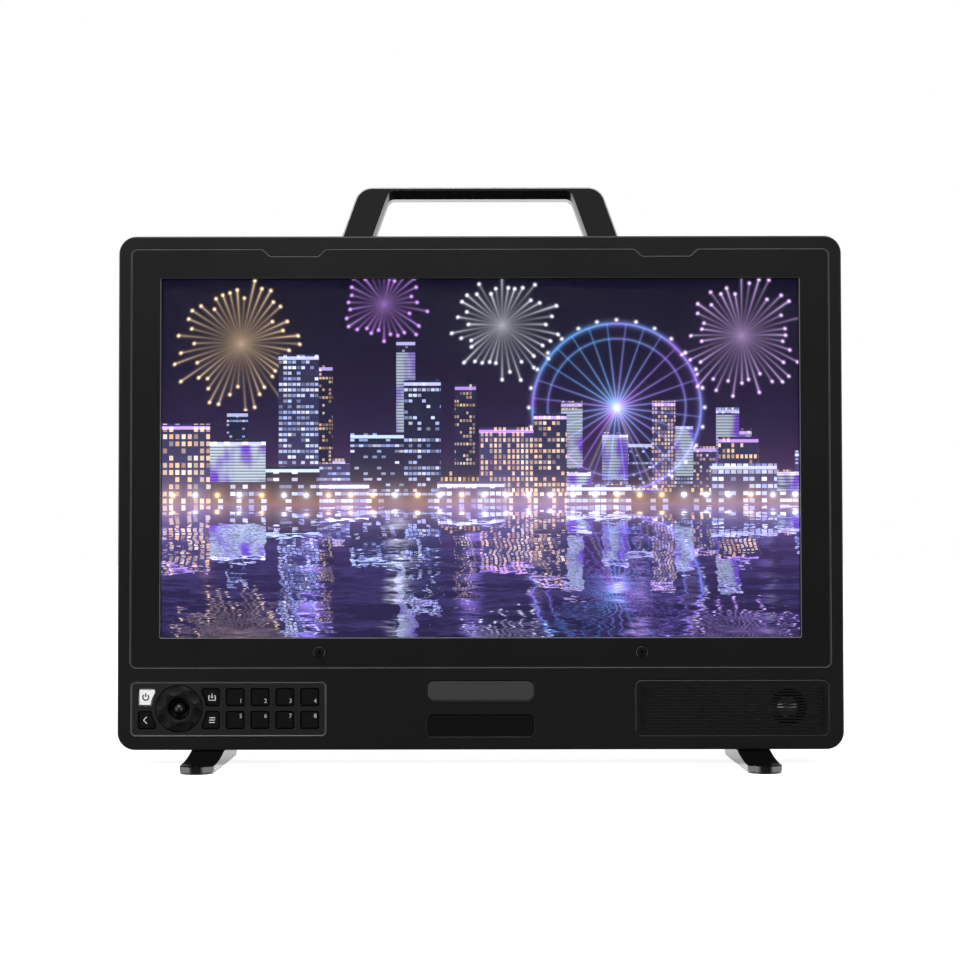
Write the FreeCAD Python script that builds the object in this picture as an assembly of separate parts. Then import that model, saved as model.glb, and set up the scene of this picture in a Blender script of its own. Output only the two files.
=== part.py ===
import FreeCAD, Part
import math
import os

from FreeCAD import Vector

# Production monitor: a desk-standing video monitor with a carrying handle and two long flat feet.
# Millimetres, +Z up. The screen faces -Y, and the origin lies on the floor under the middle of the box.
# A depth is measured backwards from the front face of the frame.

# Screen window, bezel plate and the rim of the frame round it
WINDOW_W = 382.2
WINDOW_H = 215.0
WINDOW_R = 0.8
BEZEL_BORDER = 17.6
BEZEL_R = 3.5
BEZEL_T = 2.8
BEZEL_INSET = 0.2
NOTCH_X = 111.5
NOTCH_DEPTH = 4.3
NOTCH_MOUTH = 38.0
NOTCH_FLOOR = 29.4
NOTCH_R = 3.0
FRAME_RIM = 7.7
CORNER_R = 10.5
EDGE_R = 1.0
WALL = 4.0
FRAME_DEPTH = 50.0
EDGE_BREAK = 0.4

# Panel sandwich behind the bezel
GLASS_T = 2.0
GLASS_LAP = 6.9
GLASS_R = 2.0
GASKET_T = 1.0
GASKET_W = 5.0
LCD_T = 2.2
LCD_LAP = 8.9
LCD_R = 1.0
DIFFUSER_T = 2.4
DIFFUSER_SEAT = 3.5
MIX_GAP = 3.0
LED_BAR_T = 1.6
LED_BAR_H = 7.0
LED_BAR_MARGIN = 4.0
LED_BAR_COUNT = 8
TRAY_T = 1.2
BOARD_STANDOFF = 8.0
STANDOFF_R = 3.0

# Apron under the bezel: control plate, tally window, name plate and speaker panel
PANEL_LOW = 8.6
PANEL_ABOVE = 7.85
PANEL_SIDE = 1.4
PANEL_LEDGE = 1.2
SPEAKER_PANEL_W = 115.0
SPEAKER_PANEL_H = 32.65
SPEAKER_PANEL_R = 3.6
SPEAKER_INSET = 0.2
GRILLE_T = 2.8
GRILLE_BORDER = 2.6
SLOT_PITCH = 1.79
SLOT_H = 0.8
FELT_T = 1.0
FELT_LAP = 1.2
CONTROL_LOW = 8.95
CONTROL_SIDE = 0.8
CONTROL_R = 2.5
CONTROL_INSET = 0.4
CONTROL_T = 2.6
KEY_BORDER = 3.4
KEY_SIDE = 3.7
SIDE_REACH = 24.4
SIDE_START = 13.5
SIDE_ARC_R = 16.2
WELL_W = 11.3
WELL_H = 10.9
WELL_R = 1.4
WELL_GAP_X = 3.5
WELL_GAP_Z = 2.7
KEY_COLUMNS = 4
TALLY_W = 63.3
TALLY_H = 11.2
TALLY_R = 3.8
TALLY_LOW = 29.5
TALLY_INSET = 0.15
TALLY_FLANGE = 1.9
TALLY_FLANGE_T = 3.5
NAME_W = 63.4
NAME_H = 12.5
NAME_R = 3.2
NAME_LOW = 8.0
NAME_T = 1.0
NAME_INSET = 0.2

# Keys and their switches
KEY_INSET = 0.5
KEY_GAP = 0.5
KEY_TRAVEL = 0.8
KEY_LIP = 1.05
KEY_LIP_T = 1.2
KEY_EDGE = 0.45
KEY_STEM_R = 1.5
KEY_STEM_L = 1.65
KEY_STOP_GAP = 0.05
SWITCH_SIZE = 6.0
SWITCH_T = 3.5
BOARD_T = 1.6
SKIRT_T = 1.0
SIDE_KEYS = (
    ("power_button", -1, 1),
    ("back_button", -1, -1),
    ("page_button", 1, 1),
    ("menu_button", 1, -1),
)

# Jog wheel and joystick
JOG_R = 13.6
JOG_HOLE_R = 6.65
JOG_PROUD = 1.3
JOG_CROWN_R = 10.4
JOG_RIM_DROP = 0.7
JOG_HOLE_DROP = 0.5
JOG_EDGE = 0.5
JOG_HUB_T = 2.1
SCALLOP_COUNT = 6
SCALLOP_FIRST = 100.0
SCALLOP_R = 12.3
SCALLOP_SINK = 1.4
ENCODER_NECK_R = 8.05
NECK_GAP = 0.3
ENCODER_FLANGE_R = 12.5
ENCODER_FLANGE_T = 2.0
ENCODER_NECK_T = 1.45
STICK_BALL_R = 3.1
STICK_PROUD = 0.2
STICK_SHAFT_R = 1.5
STICK_PRESS = 0.6
STICK_COLLAR_R = 2.1
STICK_COLLAR_T = 0.35
SLEEVE_R = 3.4
SLEEVE_L = 3.2
GIMBAL_T = 1.4
GIMBAL_L = 2.4
GIMBAL_SWING = 1.0
GIMBAL_PIN_R = 0.6
PIN_END_GAP = 0.15

# Speaker
SPEAKER_INSET_X = 25.2
SPEAKER_R = 12.2
DOME_R = 6.2
DOME_RISE = 2.4
CONE_T = 0.6
CONE_DEPTH = 1.8
CONE_STROKE = 0.5
COIL_R = 5.0
COIL_L = 3.8
BASKET_T = 1.5
BASKET_GAP = 0.3
BASKET_DEPTH = 6.0
BASKET_LAP = 1.5
MAGNET_R = 10.0
MAGNET_T = 8.0

# Rear cover, its hump, the wall-mount plate and the fans
HUMP_DEPTH = 30.0
HUMP_HIGH = 16.0
HUMP_SLOPE = 9.0
HUMP_R = 16.0
HUMP_EDGE = 3.0
COVER_T = 3.0
COVER_BOSS_R = 4.5
COVER_BOSS_INSET = 3.5
COVER_BOSS_START = 20.0
VESA_PITCH = 100.0
VESA_HOLE_R = 1.65
VESA_BOSS_R = 5.0
VESA_PLATE = 136.0
VESA_PLATE_R = 6.0
VESA_PLATE_T = 3.0
VESA_PLATE_GAP = 1.0
VESA_LOW = 166.0
POST_INSET = 6.0
POST_R = 4.0
FAN_SIZE = 60.0
FAN_T = 15.0
FAN_SIDE_GAP = 6.0
FAN_WALL_GAP = 4.0
FAN_BORE_R = 27.5
FAN_HUB_R = 11.0
FAN_BLADES = 7
FAN_BLADE_T = 1.2
FAN_BLADE_SLANT = 38.0
FAN_TIP_GAP = 0.8
FAN_END_GAP = 1.5
FAN_BASE_T = 2.0
FAN_STRUT_W = 4.0
FAN_R = 3.0
FAN_WALL = 1.5
FAN_BEARING_R = 3.5
FAN_BEARING_L = 8.0
FAN_SHAFT_R = 1.5
VENT_SLOT_W = 3.0
VENT_PITCH = 6.0
INTAKE_SLOT_L = 36.0
INTAKE_INSET = 12.0
INTAKE_LOW = 95.0
INTAKE_HIGH = 40.0

# Electronics and rear sockets
BOARD_MARGIN_X = 36.0
BOARD_MARGIN_Z = 13.0
BOARD_HOLE_INSET = 6.0
BOARD_R = 2.0
SINK_GAP = 10.0
SINK_BASE_T = 4.0
SINK_HEIGHT = 36.0
SINK_FIN_T = 2.0
SINK_FIN_PITCH = 7.0
IO_W = 250.0
IO_H = 50.0
IO_LOW = 18.0
IO_R = 3.0
IO_LAP = 5.0
IO_PLATE_T = 1.5
IO_BOARD_BACK = 7.9
BNC_PITCH = 22.0
BNC_COLUMNS = 4
BNC_X = -70.0
BNC_BODY = 14.0
BNC_R = 4.83
BNC_L = 13.0
BNC_BORE_R = 3.4
BNC_BORE_L = 9.0
BNC_PIN_R = 0.7
BNC_LUG_R = 1.0
BNC_LUG_L = 0.9
BNC_LUG_BACK = 2.5
HDMI_X = -5.0
HDMI_W = 15.0
HDMI_H = 5.6
HDMI_WALL = 0.6
HDMI_R = 1.2
HDMI_TONGUE_T = 1.4
HDMI_TONGUE_MARGIN = 1.8
HDMI_L = 11.0
NETWORK_X = 40.0
NETWORK_W = 16.0
NETWORK_H = 13.5
NETWORK_CAVITY_W = 11.8
NETWORK_CAVITY_H = 8.5
NETWORK_CAVITY_L = 10.0
INLET_X = 92.0
INLET_CUP_R = 8.0
INLET_WALL = 1.5
INLET_DEPTH = 14.0
INLET_FLOOR_T = 2.0
INLET_FLANGE = 26.0
INLET_FLANGE_T = 1.5
INLET_PIN_R = 1.2
INLET_PIN_RING = 5.0
INLET_PIN_L = 10.0
INLET_PINS = 4
SOCKET_PROUD = 1.0
SOCKET_RISE = 11.0

# Handle
HANDLE_RISE = 32.0
HANDLE_HALF = 84.5
HANDLE_LEAN = 19.8
HANDLE_LEG = 19.7
HANDLE_GRIP = 6.3
HANDLE_LIP = 2.1
HANDLE_LEG_BEVEL = 1.2
HANDLE_BEVEL_DEPTH = 7.0
HANDLE_TOP_R = 10.8
HANDLE_INNER_R = 5.0
HANDLE_DEPTH = 25.0
HANDLE_SETBACK = 16.0
HANDLE_BREAK = 0.8
HANDLE_SCREW_PITCH = 12.0

# Feet
PAD_T = 1.4
PAD_INSET = 0.3
FOOT_T = 7.6
FOOT_W = 19.8
FOOT_LENGTH = 140.0
FOOT_INSET = 53.8
TOE_REACH = 60.0
TOE_T = 3.5
TOE_FLAT = 14.0
RAMP_MID = 16.0
RAMP_MID_DROP = 2.2
FOOT_EDGE = 0.6
FOOT_SCREW_PITCH = 26.0
FOOT_SCREW_START = 12.0

# Screws and general clearances
M4_R = 2.0
M4_HEAD_R = 3.6
M4_HEAD_T = 2.4
M4_SOCKET = 1.4
M3_R = 1.5
M3_SOCKET = 1.0
HANDLE_SCREW_BITE = 8.0
COVER_SCREW_BITE = 9.0
COUNTERSINK = 2.0
BEZEL_SCREW_X = 96.2
BEZEL_SCREW_HEAD_R = 3.4
BEZEL_SCREW_PROUD = 0.5
BEZEL_SCREW_RIM = 1.2
BEZEL_SCREW_SINK = 1.2
SCREW_FIT = 0.1
FIT = 0.2
RUN_FIT = 0.05
LOOSE_FIT = 0.4
TINY = 1e-6
OVERSHOOT = 1.0

# Main sizes that follow from these
bezel_w = WINDOW_W + 2 * BEZEL_BORDER
bezel_h = WINDOW_H + 2 * BEZEL_BORDER
apron_h = PANEL_LOW + SPEAKER_PANEL_H + PANEL_ABOVE
body_w = bezel_w + 2 * FRAME_RIM
body_h = FRAME_RIM + bezel_h + apron_h
body_depth = FRAME_DEPTH + HUMP_DEPTH
base_z = PAD_T + FOOT_T
top_z = base_z + body_h
body_z = base_z + body_h / 2
window_z = base_z + apron_h + bezel_h / 2
front_y = (TOE_REACH - max(body_depth, FOOT_LENGTH - TOE_REACH)) / 2

# Depths of the layers, counted from the front face
bezel_seat = BEZEL_INSET + BEZEL_T
front_wall = bezel_seat + GLASS_T + GASKET_T
lcd_back = front_wall + LCD_T
diffuser_back = lcd_back + DIFFUSER_T
tray_floor = diffuser_back + MIX_GAP + LED_BAR_T
tray_back = tray_floor + TRAY_T
board_front = tray_back + BOARD_STANDOFF
board_back = board_front + BOARD_T
cover_front = FRAME_DEPTH - COVER_T
hump_wall = body_depth - COVER_T
io_plate_front = cover_front - IO_PLATE_T
io_board_back = io_plate_front - IO_BOARD_BACK
control_back = CONTROL_INSET + CONTROL_T
key_face = CONTROL_INSET + KEY_INSET
lip_front = control_back + FIT
lip_back = lip_front + KEY_LIP_T
stem_end = lip_back + KEY_STEM_L
switch_front = stem_end + KEY_TRAVEL + KEY_STOP_GAP
key_board_front = switch_front + SWITCH_T
key_board_back = key_board_front + BOARD_T
grille_back = SPEAKER_INSET + GRILLE_T
felt_back = grille_back + FELT_T
jog_back = control_back - FIT
flange_front = key_board_front - ENCODER_FLANGE_T
collar_back = key_board_front - FIT - STICK_PRESS
collar_front = collar_back - STICK_COLLAR_T
pivot_depth = collar_front - RUN_FIT - SLEEVE_L / 2

# Radii of the joystick's rings, from the neck inwards
neck_r = ENCODER_NECK_R
neck_bore = neck_r - ENCODER_NECK_T
gimbal_r = neck_bore - GIMBAL_SWING

# Places on the apron
control_w = 2 * KEY_SIDE + 2 * SIDE_REACH + KEY_COLUMNS * (WELL_W + WELL_GAP_X)
control_h = 2 * KEY_BORDER + 2 * WELL_H + WELL_GAP_Z
control_x = CONTROL_SIDE - bezel_w / 2 + control_w / 2
control_z = base_z + CONTROL_LOW + control_h / 2
jog_x = control_x - control_w / 2 + KEY_SIDE + SIDE_REACH
row_rise = (WELL_H + WELL_GAP_Z) / 2
panel_x = bezel_w / 2 - PANEL_SIDE - SPEAKER_PANEL_W / 2
panel_z = base_z + PANEL_LOW + SPEAKER_PANEL_H / 2
speaker_x = bezel_w / 2 - SPEAKER_INSET_X
tally_z = base_z + TALLY_LOW + TALLY_H / 2
name_z = base_z + NAME_LOW + NAME_H / 2

# Places on the back and underneath
vesa_z = base_z + VESA_LOW
post_half = VESA_PLATE / 2 - POST_INSET
main_board_w = 2 * (post_half + BOARD_MARGIN_X)
main_board_h = 2 * (post_half + BOARD_MARGIN_Z)
sink_size = 2 * (post_half - POST_R - SINK_GAP)
fan_x = VESA_PLATE / 2 + FAN_SIDE_GAP + FAN_SIZE / 2
hump_wall_reach = COVER_T + HUMP_SLOPE
hump_half = fan_x + FAN_SIZE / 2 + FAN_WALL_GAP + hump_wall_reach
hump_low = vesa_z - VESA_PLATE / 2 - VESA_PLATE_GAP - hump_wall_reach
hump_high = top_z - HUMP_HIGH
fan_z = hump_high - hump_wall_reach - FAN_WALL_GAP - FAN_SIZE / 2
io_z = base_z + IO_LOW + IO_H / 2
foot_x = body_w / 2 - FOOT_INSET


def y_at(depth):
    """Y of a depth behind the front face."""
    return front_y + depth


def rect(x, z, width, height, radius):
    """Corners of an upright rectangle about a centre, anticlockwise from the lower left."""
    half_w = width / 2
    half_h = height / 2
    return [
        (x - half_w, z - half_h, radius),
        (x + half_w, z - half_h, radius),
        (x + half_w, z + half_h, radius),
        (x - half_w, z + half_h, radius),
    ]


def bend(before, corner, after, radius):
    """Start, middle and end of the arc that rounds one corner."""
    arrive = (corner - before).normalize()
    leave = (after - corner).normalize()
    turn = arrive.getAngle(leave)
    setback = radius * math.tan(turn / 2)
    inward = (leave - arrive).normalize()
    middle = corner + inward * (radius / math.cos(turn / 2) - radius)
    return corner - arrive * setback, middle, corner + leave * setback


def outline(corners, depth):
    """Closed wire at a depth through corners (x, z, radius), each rounded by an arc."""
    points = [Vector(x, y_at(depth), z) for x, z, radius in corners]
    count = len(points)
    bends = []
    for i in range(count):
        bends.append(bend(points[i - 1], points[i], points[(i + 1) % count], corners[i][2]))
    edges = []
    for i in range(count):
        start, middle, end = bends[i]
        before = bends[i - 1][2]
        if before.distanceToPoint(start) > TINY:
            edges.append(Part.LineSegment(before, start).toShape())
        if start.distanceToPoint(end) > TINY:
            edges.append(Part.Arc(start, middle, end).toShape())
    return Part.Wire(edges)


def grow(corners, gap):
    """Corners of the same outline moved outwards by a gap, or inwards by a negative one."""
    count = len(corners)
    moved = []
    for i in range(count):
        x, z, radius = corners[i]
        before = corners[i - 1]
        after = corners[(i + 1) % count]
        arrive = Vector(x - before[0], 0, z - before[1]).normalize()
        leave = Vector(after[0] - x, 0, after[1] - z).normalize()
        side = arrive.x * leave.z - arrive.z * leave.x
        share = gap / (1 + arrive.dot(leave))
        rounded = max(radius + math.copysign(1, side) * gap, 0) if radius else 0
        moved.append((x + share * (arrive.z + leave.z), z - share * (arrive.x + leave.x), rounded))
    return moved


def slab(corners, front, back):
    """Plate with an outline between two depths."""
    return Part.Face(outline(corners, front)).extrude(Vector(0, back - front, 0))


def flare(front_corners, front, back_corners, back):
    """Solid between two like outlines at two depths."""
    return Part.makeLoft([outline(front_corners, front), outline(back_corners, back)], True, True)


def bevelled(corners, front, back, edge):
    """Plate whose front edge is bevelled."""
    nose = flare(grow(corners, -edge), front, corners, front + edge)
    return nose.fuse(slab(corners, front + edge, back)).removeSplitter()


def mouth(corners, front, edge):
    """Cutter that bevels the edge of a pocket which opens forwards at a depth."""
    return flare(grow(corners, 2 * edge), front - edge, corners, front + edge)


def rod(x, z, radius, front, back):
    """Round bar along the depth."""
    return Part.makeCylinder(radius, back - front, Vector(x, y_at(front), z), Vector(0, 1, 0))


def tube(x, z, outer, inner, front, back):
    """Round pipe along the depth."""
    return rod(x, z, outer, front, back).cut(rod(x, z, inner, front - OVERSHOOT, back + OVERSHOOT))


def post(x, depth, radius, low, high):
    """Round bar upright at a depth."""
    return Part.makeCylinder(radius, high - low, Vector(x, y_at(depth), low), Vector(0, 0, 1))


def turned(x, z, profile, crown=None):
    """Solid of revolution about a line along the depth, from corners (radius, depth).

    A crown is a point that bends the closing edge, from the last corner to the first, into an arc."""
    points = [Vector(x + radius, y_at(depth), z) for radius, depth in profile]
    edges = [Part.LineSegment(a, b).toShape() for a, b in zip(points, points[1:])]
    if crown:
        middle = Vector(x + crown[0], y_at(crown[1]), z)
        edges.append(Part.Arc(points[-1], middle, points[0]).toShape())
    else:
        edges.append(Part.LineSegment(points[-1], points[0]).toShape())
    face = Part.Face(Part.Wire(edges))
    return face.revolve(Vector(x, 0, z), Vector(0, 1, 0), 360)


def join(shapes):
    """One solid from pieces that touch or overlap."""
    return shapes[0].multiFuse(shapes[1:]).removeSplitter()


def edges_at(shape, depth):
    """Edges of a shape that lie wholly in the plane at a depth."""
    y = y_at(depth)
    return [e for e in shape.Edges if abs(e.BoundBox.YMin - y) < TINY and abs(e.BoundBox.YMax - y) < TINY]


def hex_recess(place, direction, radius, depth):
    """Six-sided recess that goes in from a place along a direction."""
    side = direction.cross(Vector(1, 1, 1)).normalize()
    corners = []
    for i in range(7):
        turn = FreeCAD.Rotation(direction, 60 * i)
        corners.append(place + turn.multVec(side) * radius)
    return Part.Face(Part.makePolygon(corners)).extrude(direction * depth)


def screw(place, direction, radius, length, head_r, head_t, socket_r):
    """Cap screw: the seat of its head is at the place and its shank runs along the direction."""
    shank = Part.makeCylinder(radius, length, place, direction)
    head = Part.makeCylinder(head_r, head_t, place, direction * -1)
    return head.fuse(shank).cut(hex_recess(place - direction * head_t, direction, socket_r, head_t / 2))


def bezel_outline():
    """Edge of the bezel plate, with a notch under each tab of the frame."""
    low = window_z - bezel_h / 2
    high = window_z + bezel_h / 2
    half = bezel_w / 2
    corners = [(-half, low, BEZEL_R), (half, low, BEZEL_R), (half, high, BEZEL_R)]
    for x in (NOTCH_X, -NOTCH_X):
        corners.append((x + NOTCH_MOUTH / 2, high, NOTCH_R))
        corners.append((x + NOTCH_FLOOR / 2, high - NOTCH_DEPTH, NOTCH_R))
        corners.append((x - NOTCH_FLOOR / 2, high - NOTCH_DEPTH, NOTCH_R))
        corners.append((x - NOTCH_MOUTH / 2, high, NOTCH_R))
    corners.append((-half, high, BEZEL_R))
    return corners


def window_outline():
    """Edge of the picture."""
    return rect(0, window_z, WINDOW_W, WINDOW_H, WINDOW_R)


def glass_outline():
    """Edge of the cover glass, which the bezel overlaps."""
    return rect(0, window_z, WINDOW_W + 2 * GLASS_LAP, WINDOW_H + 2 * GLASS_LAP, GLASS_R)


def lcd_outline():
    """Edge of the display panel."""
    return rect(0, window_z, WINDOW_W + 2 * LCD_LAP, WINDOW_H + 2 * LCD_LAP, LCD_R)


def control_outline():
    """Edge of the control plate."""
    return rect(control_x, control_z, control_w, control_h, CONTROL_R)


def skirt_outline():
    """Outside of the skirt behind the control plate, which clears the ledge of the frame."""
    return grow(control_outline(), -PANEL_LEDGE)


def grille_outline():
    """Edge of the speaker grille."""
    return rect(panel_x, panel_z, SPEAKER_PANEL_W, SPEAKER_PANEL_H, SPEAKER_PANEL_R)


def speaker_opening():
    """Hole through the front wall behind the grille, inside its ledge."""
    return grow(grille_outline(), -PANEL_LEDGE)


def tally_outline():
    """Edge of the tally window."""
    return rect(0, tally_z, TALLY_W, TALLY_H, TALLY_R)


def name_outline():
    """Edge of the bare name plate."""
    return rect(0, name_z, NAME_W, NAME_H, NAME_R)


def body_outline():
    """Outside of the frame."""
    return rect(0, body_z, body_w, body_h, CORNER_R)


def cavity_outline():
    """Inside of the frame's walls."""
    return grow(body_outline(), -WALL)


def bezel_screw_places():
    """Centres (x, z) of the two screws in the lower border of the bezel."""
    z = window_z - bezel_h / 2 + BEZEL_BORDER / 2
    return [(-BEZEL_SCREW_X, z), (BEZEL_SCREW_X, z)]


def cover_screw_places():
    """Centres (x, z) of the screws round the rear cover."""
    side = body_w / 2 - WALL - COVER_BOSS_INSET
    low = base_z + WALL + COVER_BOSS_INSET
    high = top_z - WALL - COVER_BOSS_INSET
    return [(x, z) for x in (-side, side) for z in (low, body_z, high)] + [(0, low), (0, high)]


def handle_screw_places():
    """Centres (x, depth) of the screws under the handle's legs."""
    leg = HANDLE_HALF - HANDLE_LEG / 2
    middle = HANDLE_SETBACK + HANDLE_DEPTH / 2
    offsets = (-HANDLE_SCREW_PITCH / 2, HANDLE_SCREW_PITCH / 2)
    return [(x, middle + offset) for x in (-leg, leg) for offset in offsets]


def foot_screw_places():
    """Centres (x, depth) of the screws that hold the feet."""
    depths = (FOOT_SCREW_START, FOOT_SCREW_START + FOOT_SCREW_PITCH)
    return [(x, depth) for x in (-foot_x, foot_x) for depth in depths]


def front_frame():
    """Deep box with pockets for the front plates, two tabs over the bezel and bosses for the rear cover."""
    block = slab(body_outline(), 0, FRAME_DEPTH)
    block = block.makeFillet(EDGE_R, edges_at(block, 0))
    shell = block.cut(slab(cavity_outline(), front_wall, FRAME_DEPTH + OVERSHOOT))
    bosses = [rod(x, z, COVER_BOSS_R, COVER_BOSS_START, cover_front) for x, z in cover_screw_places()]
    through = front_wall + OVERSHOOT
    cuts = []
    for edge, seat in (
        (bezel_outline(), bezel_seat),
        (control_outline(), control_back),
        (grille_outline(), grille_back),
        (tally_outline(), through),
        (name_outline(), NAME_INSET + NAME_T),
    ):
        pocket = grow(edge, FIT)
        cuts.append(slab(pocket, -OVERSHOOT, seat))
        cuts.append(mouth(pocket, 0, EDGE_BREAK))
    cuts.append(slab(grow(glass_outline(), FIT), 0, through))
    cuts.append(slab(grow(skirt_outline(), FIT), 0, through))
    cuts.append(slab(speaker_opening(), 0, through))
    for x, z in bezel_screw_places():
        cuts.append(rod(x, z, M3_R + SCREW_FIT, 0, through))
    for x, z in cover_screw_places():
        cuts.append(rod(x, z, M4_R + SCREW_FIT, cover_front - COVER_SCREW_BITE - OVERSHOOT, FRAME_DEPTH))
    for x, depth in handle_screw_places():
        cuts.append(post(x, depth, M4_R + SCREW_FIT, top_z - WALL - OVERSHOOT, top_z + OVERSHOOT))
    for x, depth in foot_screw_places():
        cuts.append(post(x, depth, M4_R + SCREW_FIT, base_z - OVERSHOOT, base_z + WALL + OVERSHOOT))
    return join([shell] + bosses).cut(cuts)


def screen_bezel():
    """Flat plate round the picture, bevelled at its edge and window, with seats for two screws."""
    plate = bevelled(bezel_outline(), BEZEL_INSET, bezel_seat, EDGE_BREAK)
    cuts = [slab(window_outline(), 0, bezel_seat + OVERSHOOT)]
    cuts.append(mouth(window_outline(), BEZEL_INSET, EDGE_BREAK))
    for x, z in bezel_screw_places():
        cuts.append(rod(x, z, BEZEL_SCREW_HEAD_R + FIT, -OVERSHOOT, BEZEL_INSET + BEZEL_SCREW_SINK))
        cuts.append(rod(x, z, M3_R + SCREW_FIT, 0, bezel_seat + OVERSHOOT))
    return plate.cut(cuts)


def bezel_screws():
    """Two round-headed screws with a raised middle and a six-sided socket."""
    seat = BEZEL_INSET + BEZEL_SCREW_SINK
    rim = BEZEL_INSET - BEZEL_SCREW_PROUD / 2
    face = BEZEL_INSET - BEZEL_SCREW_PROUD
    made = []
    for x, z in bezel_screw_places():
        collar = rod(x, z, BEZEL_SCREW_HEAD_R, rim, seat)
        collar = collar.makeChamfer(BEZEL_SCREW_PROUD / 2, edges_at(collar, rim))
        button = rod(x, z, BEZEL_SCREW_HEAD_R - BEZEL_SCREW_RIM, face, seat)
        shank = rod(x, z, M3_R, seat, front_wall - FIT)
        socket = hex_recess(Vector(x, y_at(face), z), Vector(0, 1, 0), M3_SOCKET, BEZEL_SCREW_SINK)
        made.append(join([collar, button, shank]).cut(socket))
    return Part.makeCompound(made)


def cover_glass():
    """Clear sheet in front of the display panel."""
    return slab(glass_outline(), bezel_seat, bezel_seat + GLASS_T)


def panel_gasket():
    """Foam frame between the glass and the display panel."""
    front = bezel_seat + GLASS_T
    hole = slab(grow(glass_outline(), -GASKET_W), front - OVERSHOOT, front_wall + OVERSHOOT)
    return slab(glass_outline(), front, front_wall).cut(hole)


def lcd_panel():
    """Display panel, seated on the back of the front wall."""
    return slab(lcd_outline(), front_wall, lcd_back)


def diffuser_sheet():
    """Milky sheet behind the display panel."""
    return slab(lcd_outline(), lcd_back, diffuser_back)


def led_bars():
    """Level rows of backlight on the tray's floor."""
    width = WINDOW_W + 2 * LCD_LAP - 2 * DIFFUSER_SEAT - 2 * LED_BAR_MARGIN
    pitch = WINDOW_H / LED_BAR_COUNT
    lowest = window_z - WINDOW_H / 2 + pitch / 2
    made = []
    for row in range(LED_BAR_COUNT):
        bar = rect(0, lowest + row * pitch, width, LED_BAR_H, 0)
        made.append(slab(bar, tray_floor - LED_BAR_T, tray_floor))
    return Part.makeCompound(made)


def standoff_places():
    """Centres (x, z) of the pillars that carry the main board."""
    x = main_board_w / 2 - BOARD_HOLE_INSET
    z = main_board_h / 2 - BOARD_HOLE_INSET
    return [(sx * x, vesa_z + sz * z) for sx in (-1, 1) for sz in (-1, 1)]


def panel_tray():
    """Metal tray with a step for the diffuser and pillars for the main board."""
    tray = slab(grow(lcd_outline(), LOOSE_FIT + TRAY_T), front_wall, tray_back)
    tray = tray.cut(slab(grow(lcd_outline(), LOOSE_FIT), 0, diffuser_back))
    tray = tray.cut(slab(grow(lcd_outline(), -DIFFUSER_SEAT), 0, tray_floor))
    pillars = [rod(x, z, STANDOFF_R, tray_back, board_front) for x, z in standoff_places()]
    return join([tray] + pillars)


def number_key_places():
    """Centres (x, z) of the number keys from the left, the upper row first."""
    first = jog_x + SIDE_REACH + WELL_GAP_X + WELL_W / 2
    pitch = WELL_W + WELL_GAP_X
    columns = [first + i * pitch for i in range(KEY_COLUMNS)]
    return [(x, control_z + rise) for rise in (row_rise, -row_rise) for x in columns]


def side_key_place(side, level):
    """Centre (x, z) of a key beside the jog wheel: side -1 is left, and level -1 is the lower row."""
    return jog_x + side * (SIDE_START + SIDE_REACH) / 2, control_z + level * row_rise


def number_block(place, gap, front, back):
    """Prism of a number key's well, moved outwards by a gap."""
    return slab(grow(rect(place[0], place[1], WELL_W, WELL_H, WELL_R), gap), front, back)


def side_block(place, gap, front, back):
    """Prism of a side key's well, hollowed round the jog wheel and moved outwards by a gap."""
    block = slab(grow(rect(place[0], place[1], SIDE_REACH - SIDE_START, WELL_H, WELL_R), gap), front, back)
    return block.cut(rod(jog_x, control_z, SIDE_ARC_R - gap, front - OVERSHOOT, back + OVERSHOOT))


def key(block, place):
    """Key with a lip behind the plate and a stem over its switch, shaped by one of the well prisms."""
    cap = block(place, -KEY_GAP, key_face, lip_back)
    cap = cap.makeChamfer(KEY_EDGE, edges_at(cap, key_face))
    lip = block(place, KEY_LIP - KEY_GAP, lip_front, lip_back)
    stem = rod(place[0], place[1], KEY_STEM_R, lip_back, stem_end)
    return join([cap, lip, stem])


def keys():
    """All twelve keys by name."""
    made = {}
    for name, side, level in SIDE_KEYS:
        made[name] = key(side_block, side_key_place(side, level))
    for number, place in enumerate(number_key_places(), 1):
        made[f"user_button_{number}"] = key(number_block, place)
    return made


def control_plate():
    """Plate with a well for each key and a hole for the jog wheel, on a skirt that reaches the key board."""
    plate = bevelled(control_outline(), CONTROL_INSET, control_back, EDGE_BREAK)
    skirt = slab(skirt_outline(), control_back, key_board_front)
    skirt = skirt.cut(slab(grow(skirt_outline(), -SKIRT_T), 0, key_board_back))
    cuts = [rod(jog_x, control_z, JOG_R + KEY_GAP, 0, control_back + OVERSHOOT)]
    for name, side, level in SIDE_KEYS:
        cuts.append(side_block(side_key_place(side, level), 0, 0, control_back + OVERSHOOT))
    for place in number_key_places():
        cuts.append(number_block(place, 0, 0, control_back + OVERSHOOT))
    return join([plate.cut(cuts), skirt])


def key_switches():
    """One square switch under each key."""
    places = [side_key_place(side, level) for name, side, level in SIDE_KEYS] + number_key_places()
    made = []
    for x, z in places:
        made.append(slab(rect(x, z, SWITCH_SIZE, SWITCH_SIZE, 0), switch_front, key_board_front))
    return Part.makeCompound(made)


def key_board():
    """Circuit board behind the keys, closing the skirt, with a hole that clears the tilted joystick."""
    board = slab(skirt_outline(), key_board_front, key_board_back)
    return board.cut(rod(jog_x, control_z, gimbal_r - GIMBAL_T, 0, key_board_back + OVERSHOOT))


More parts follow.
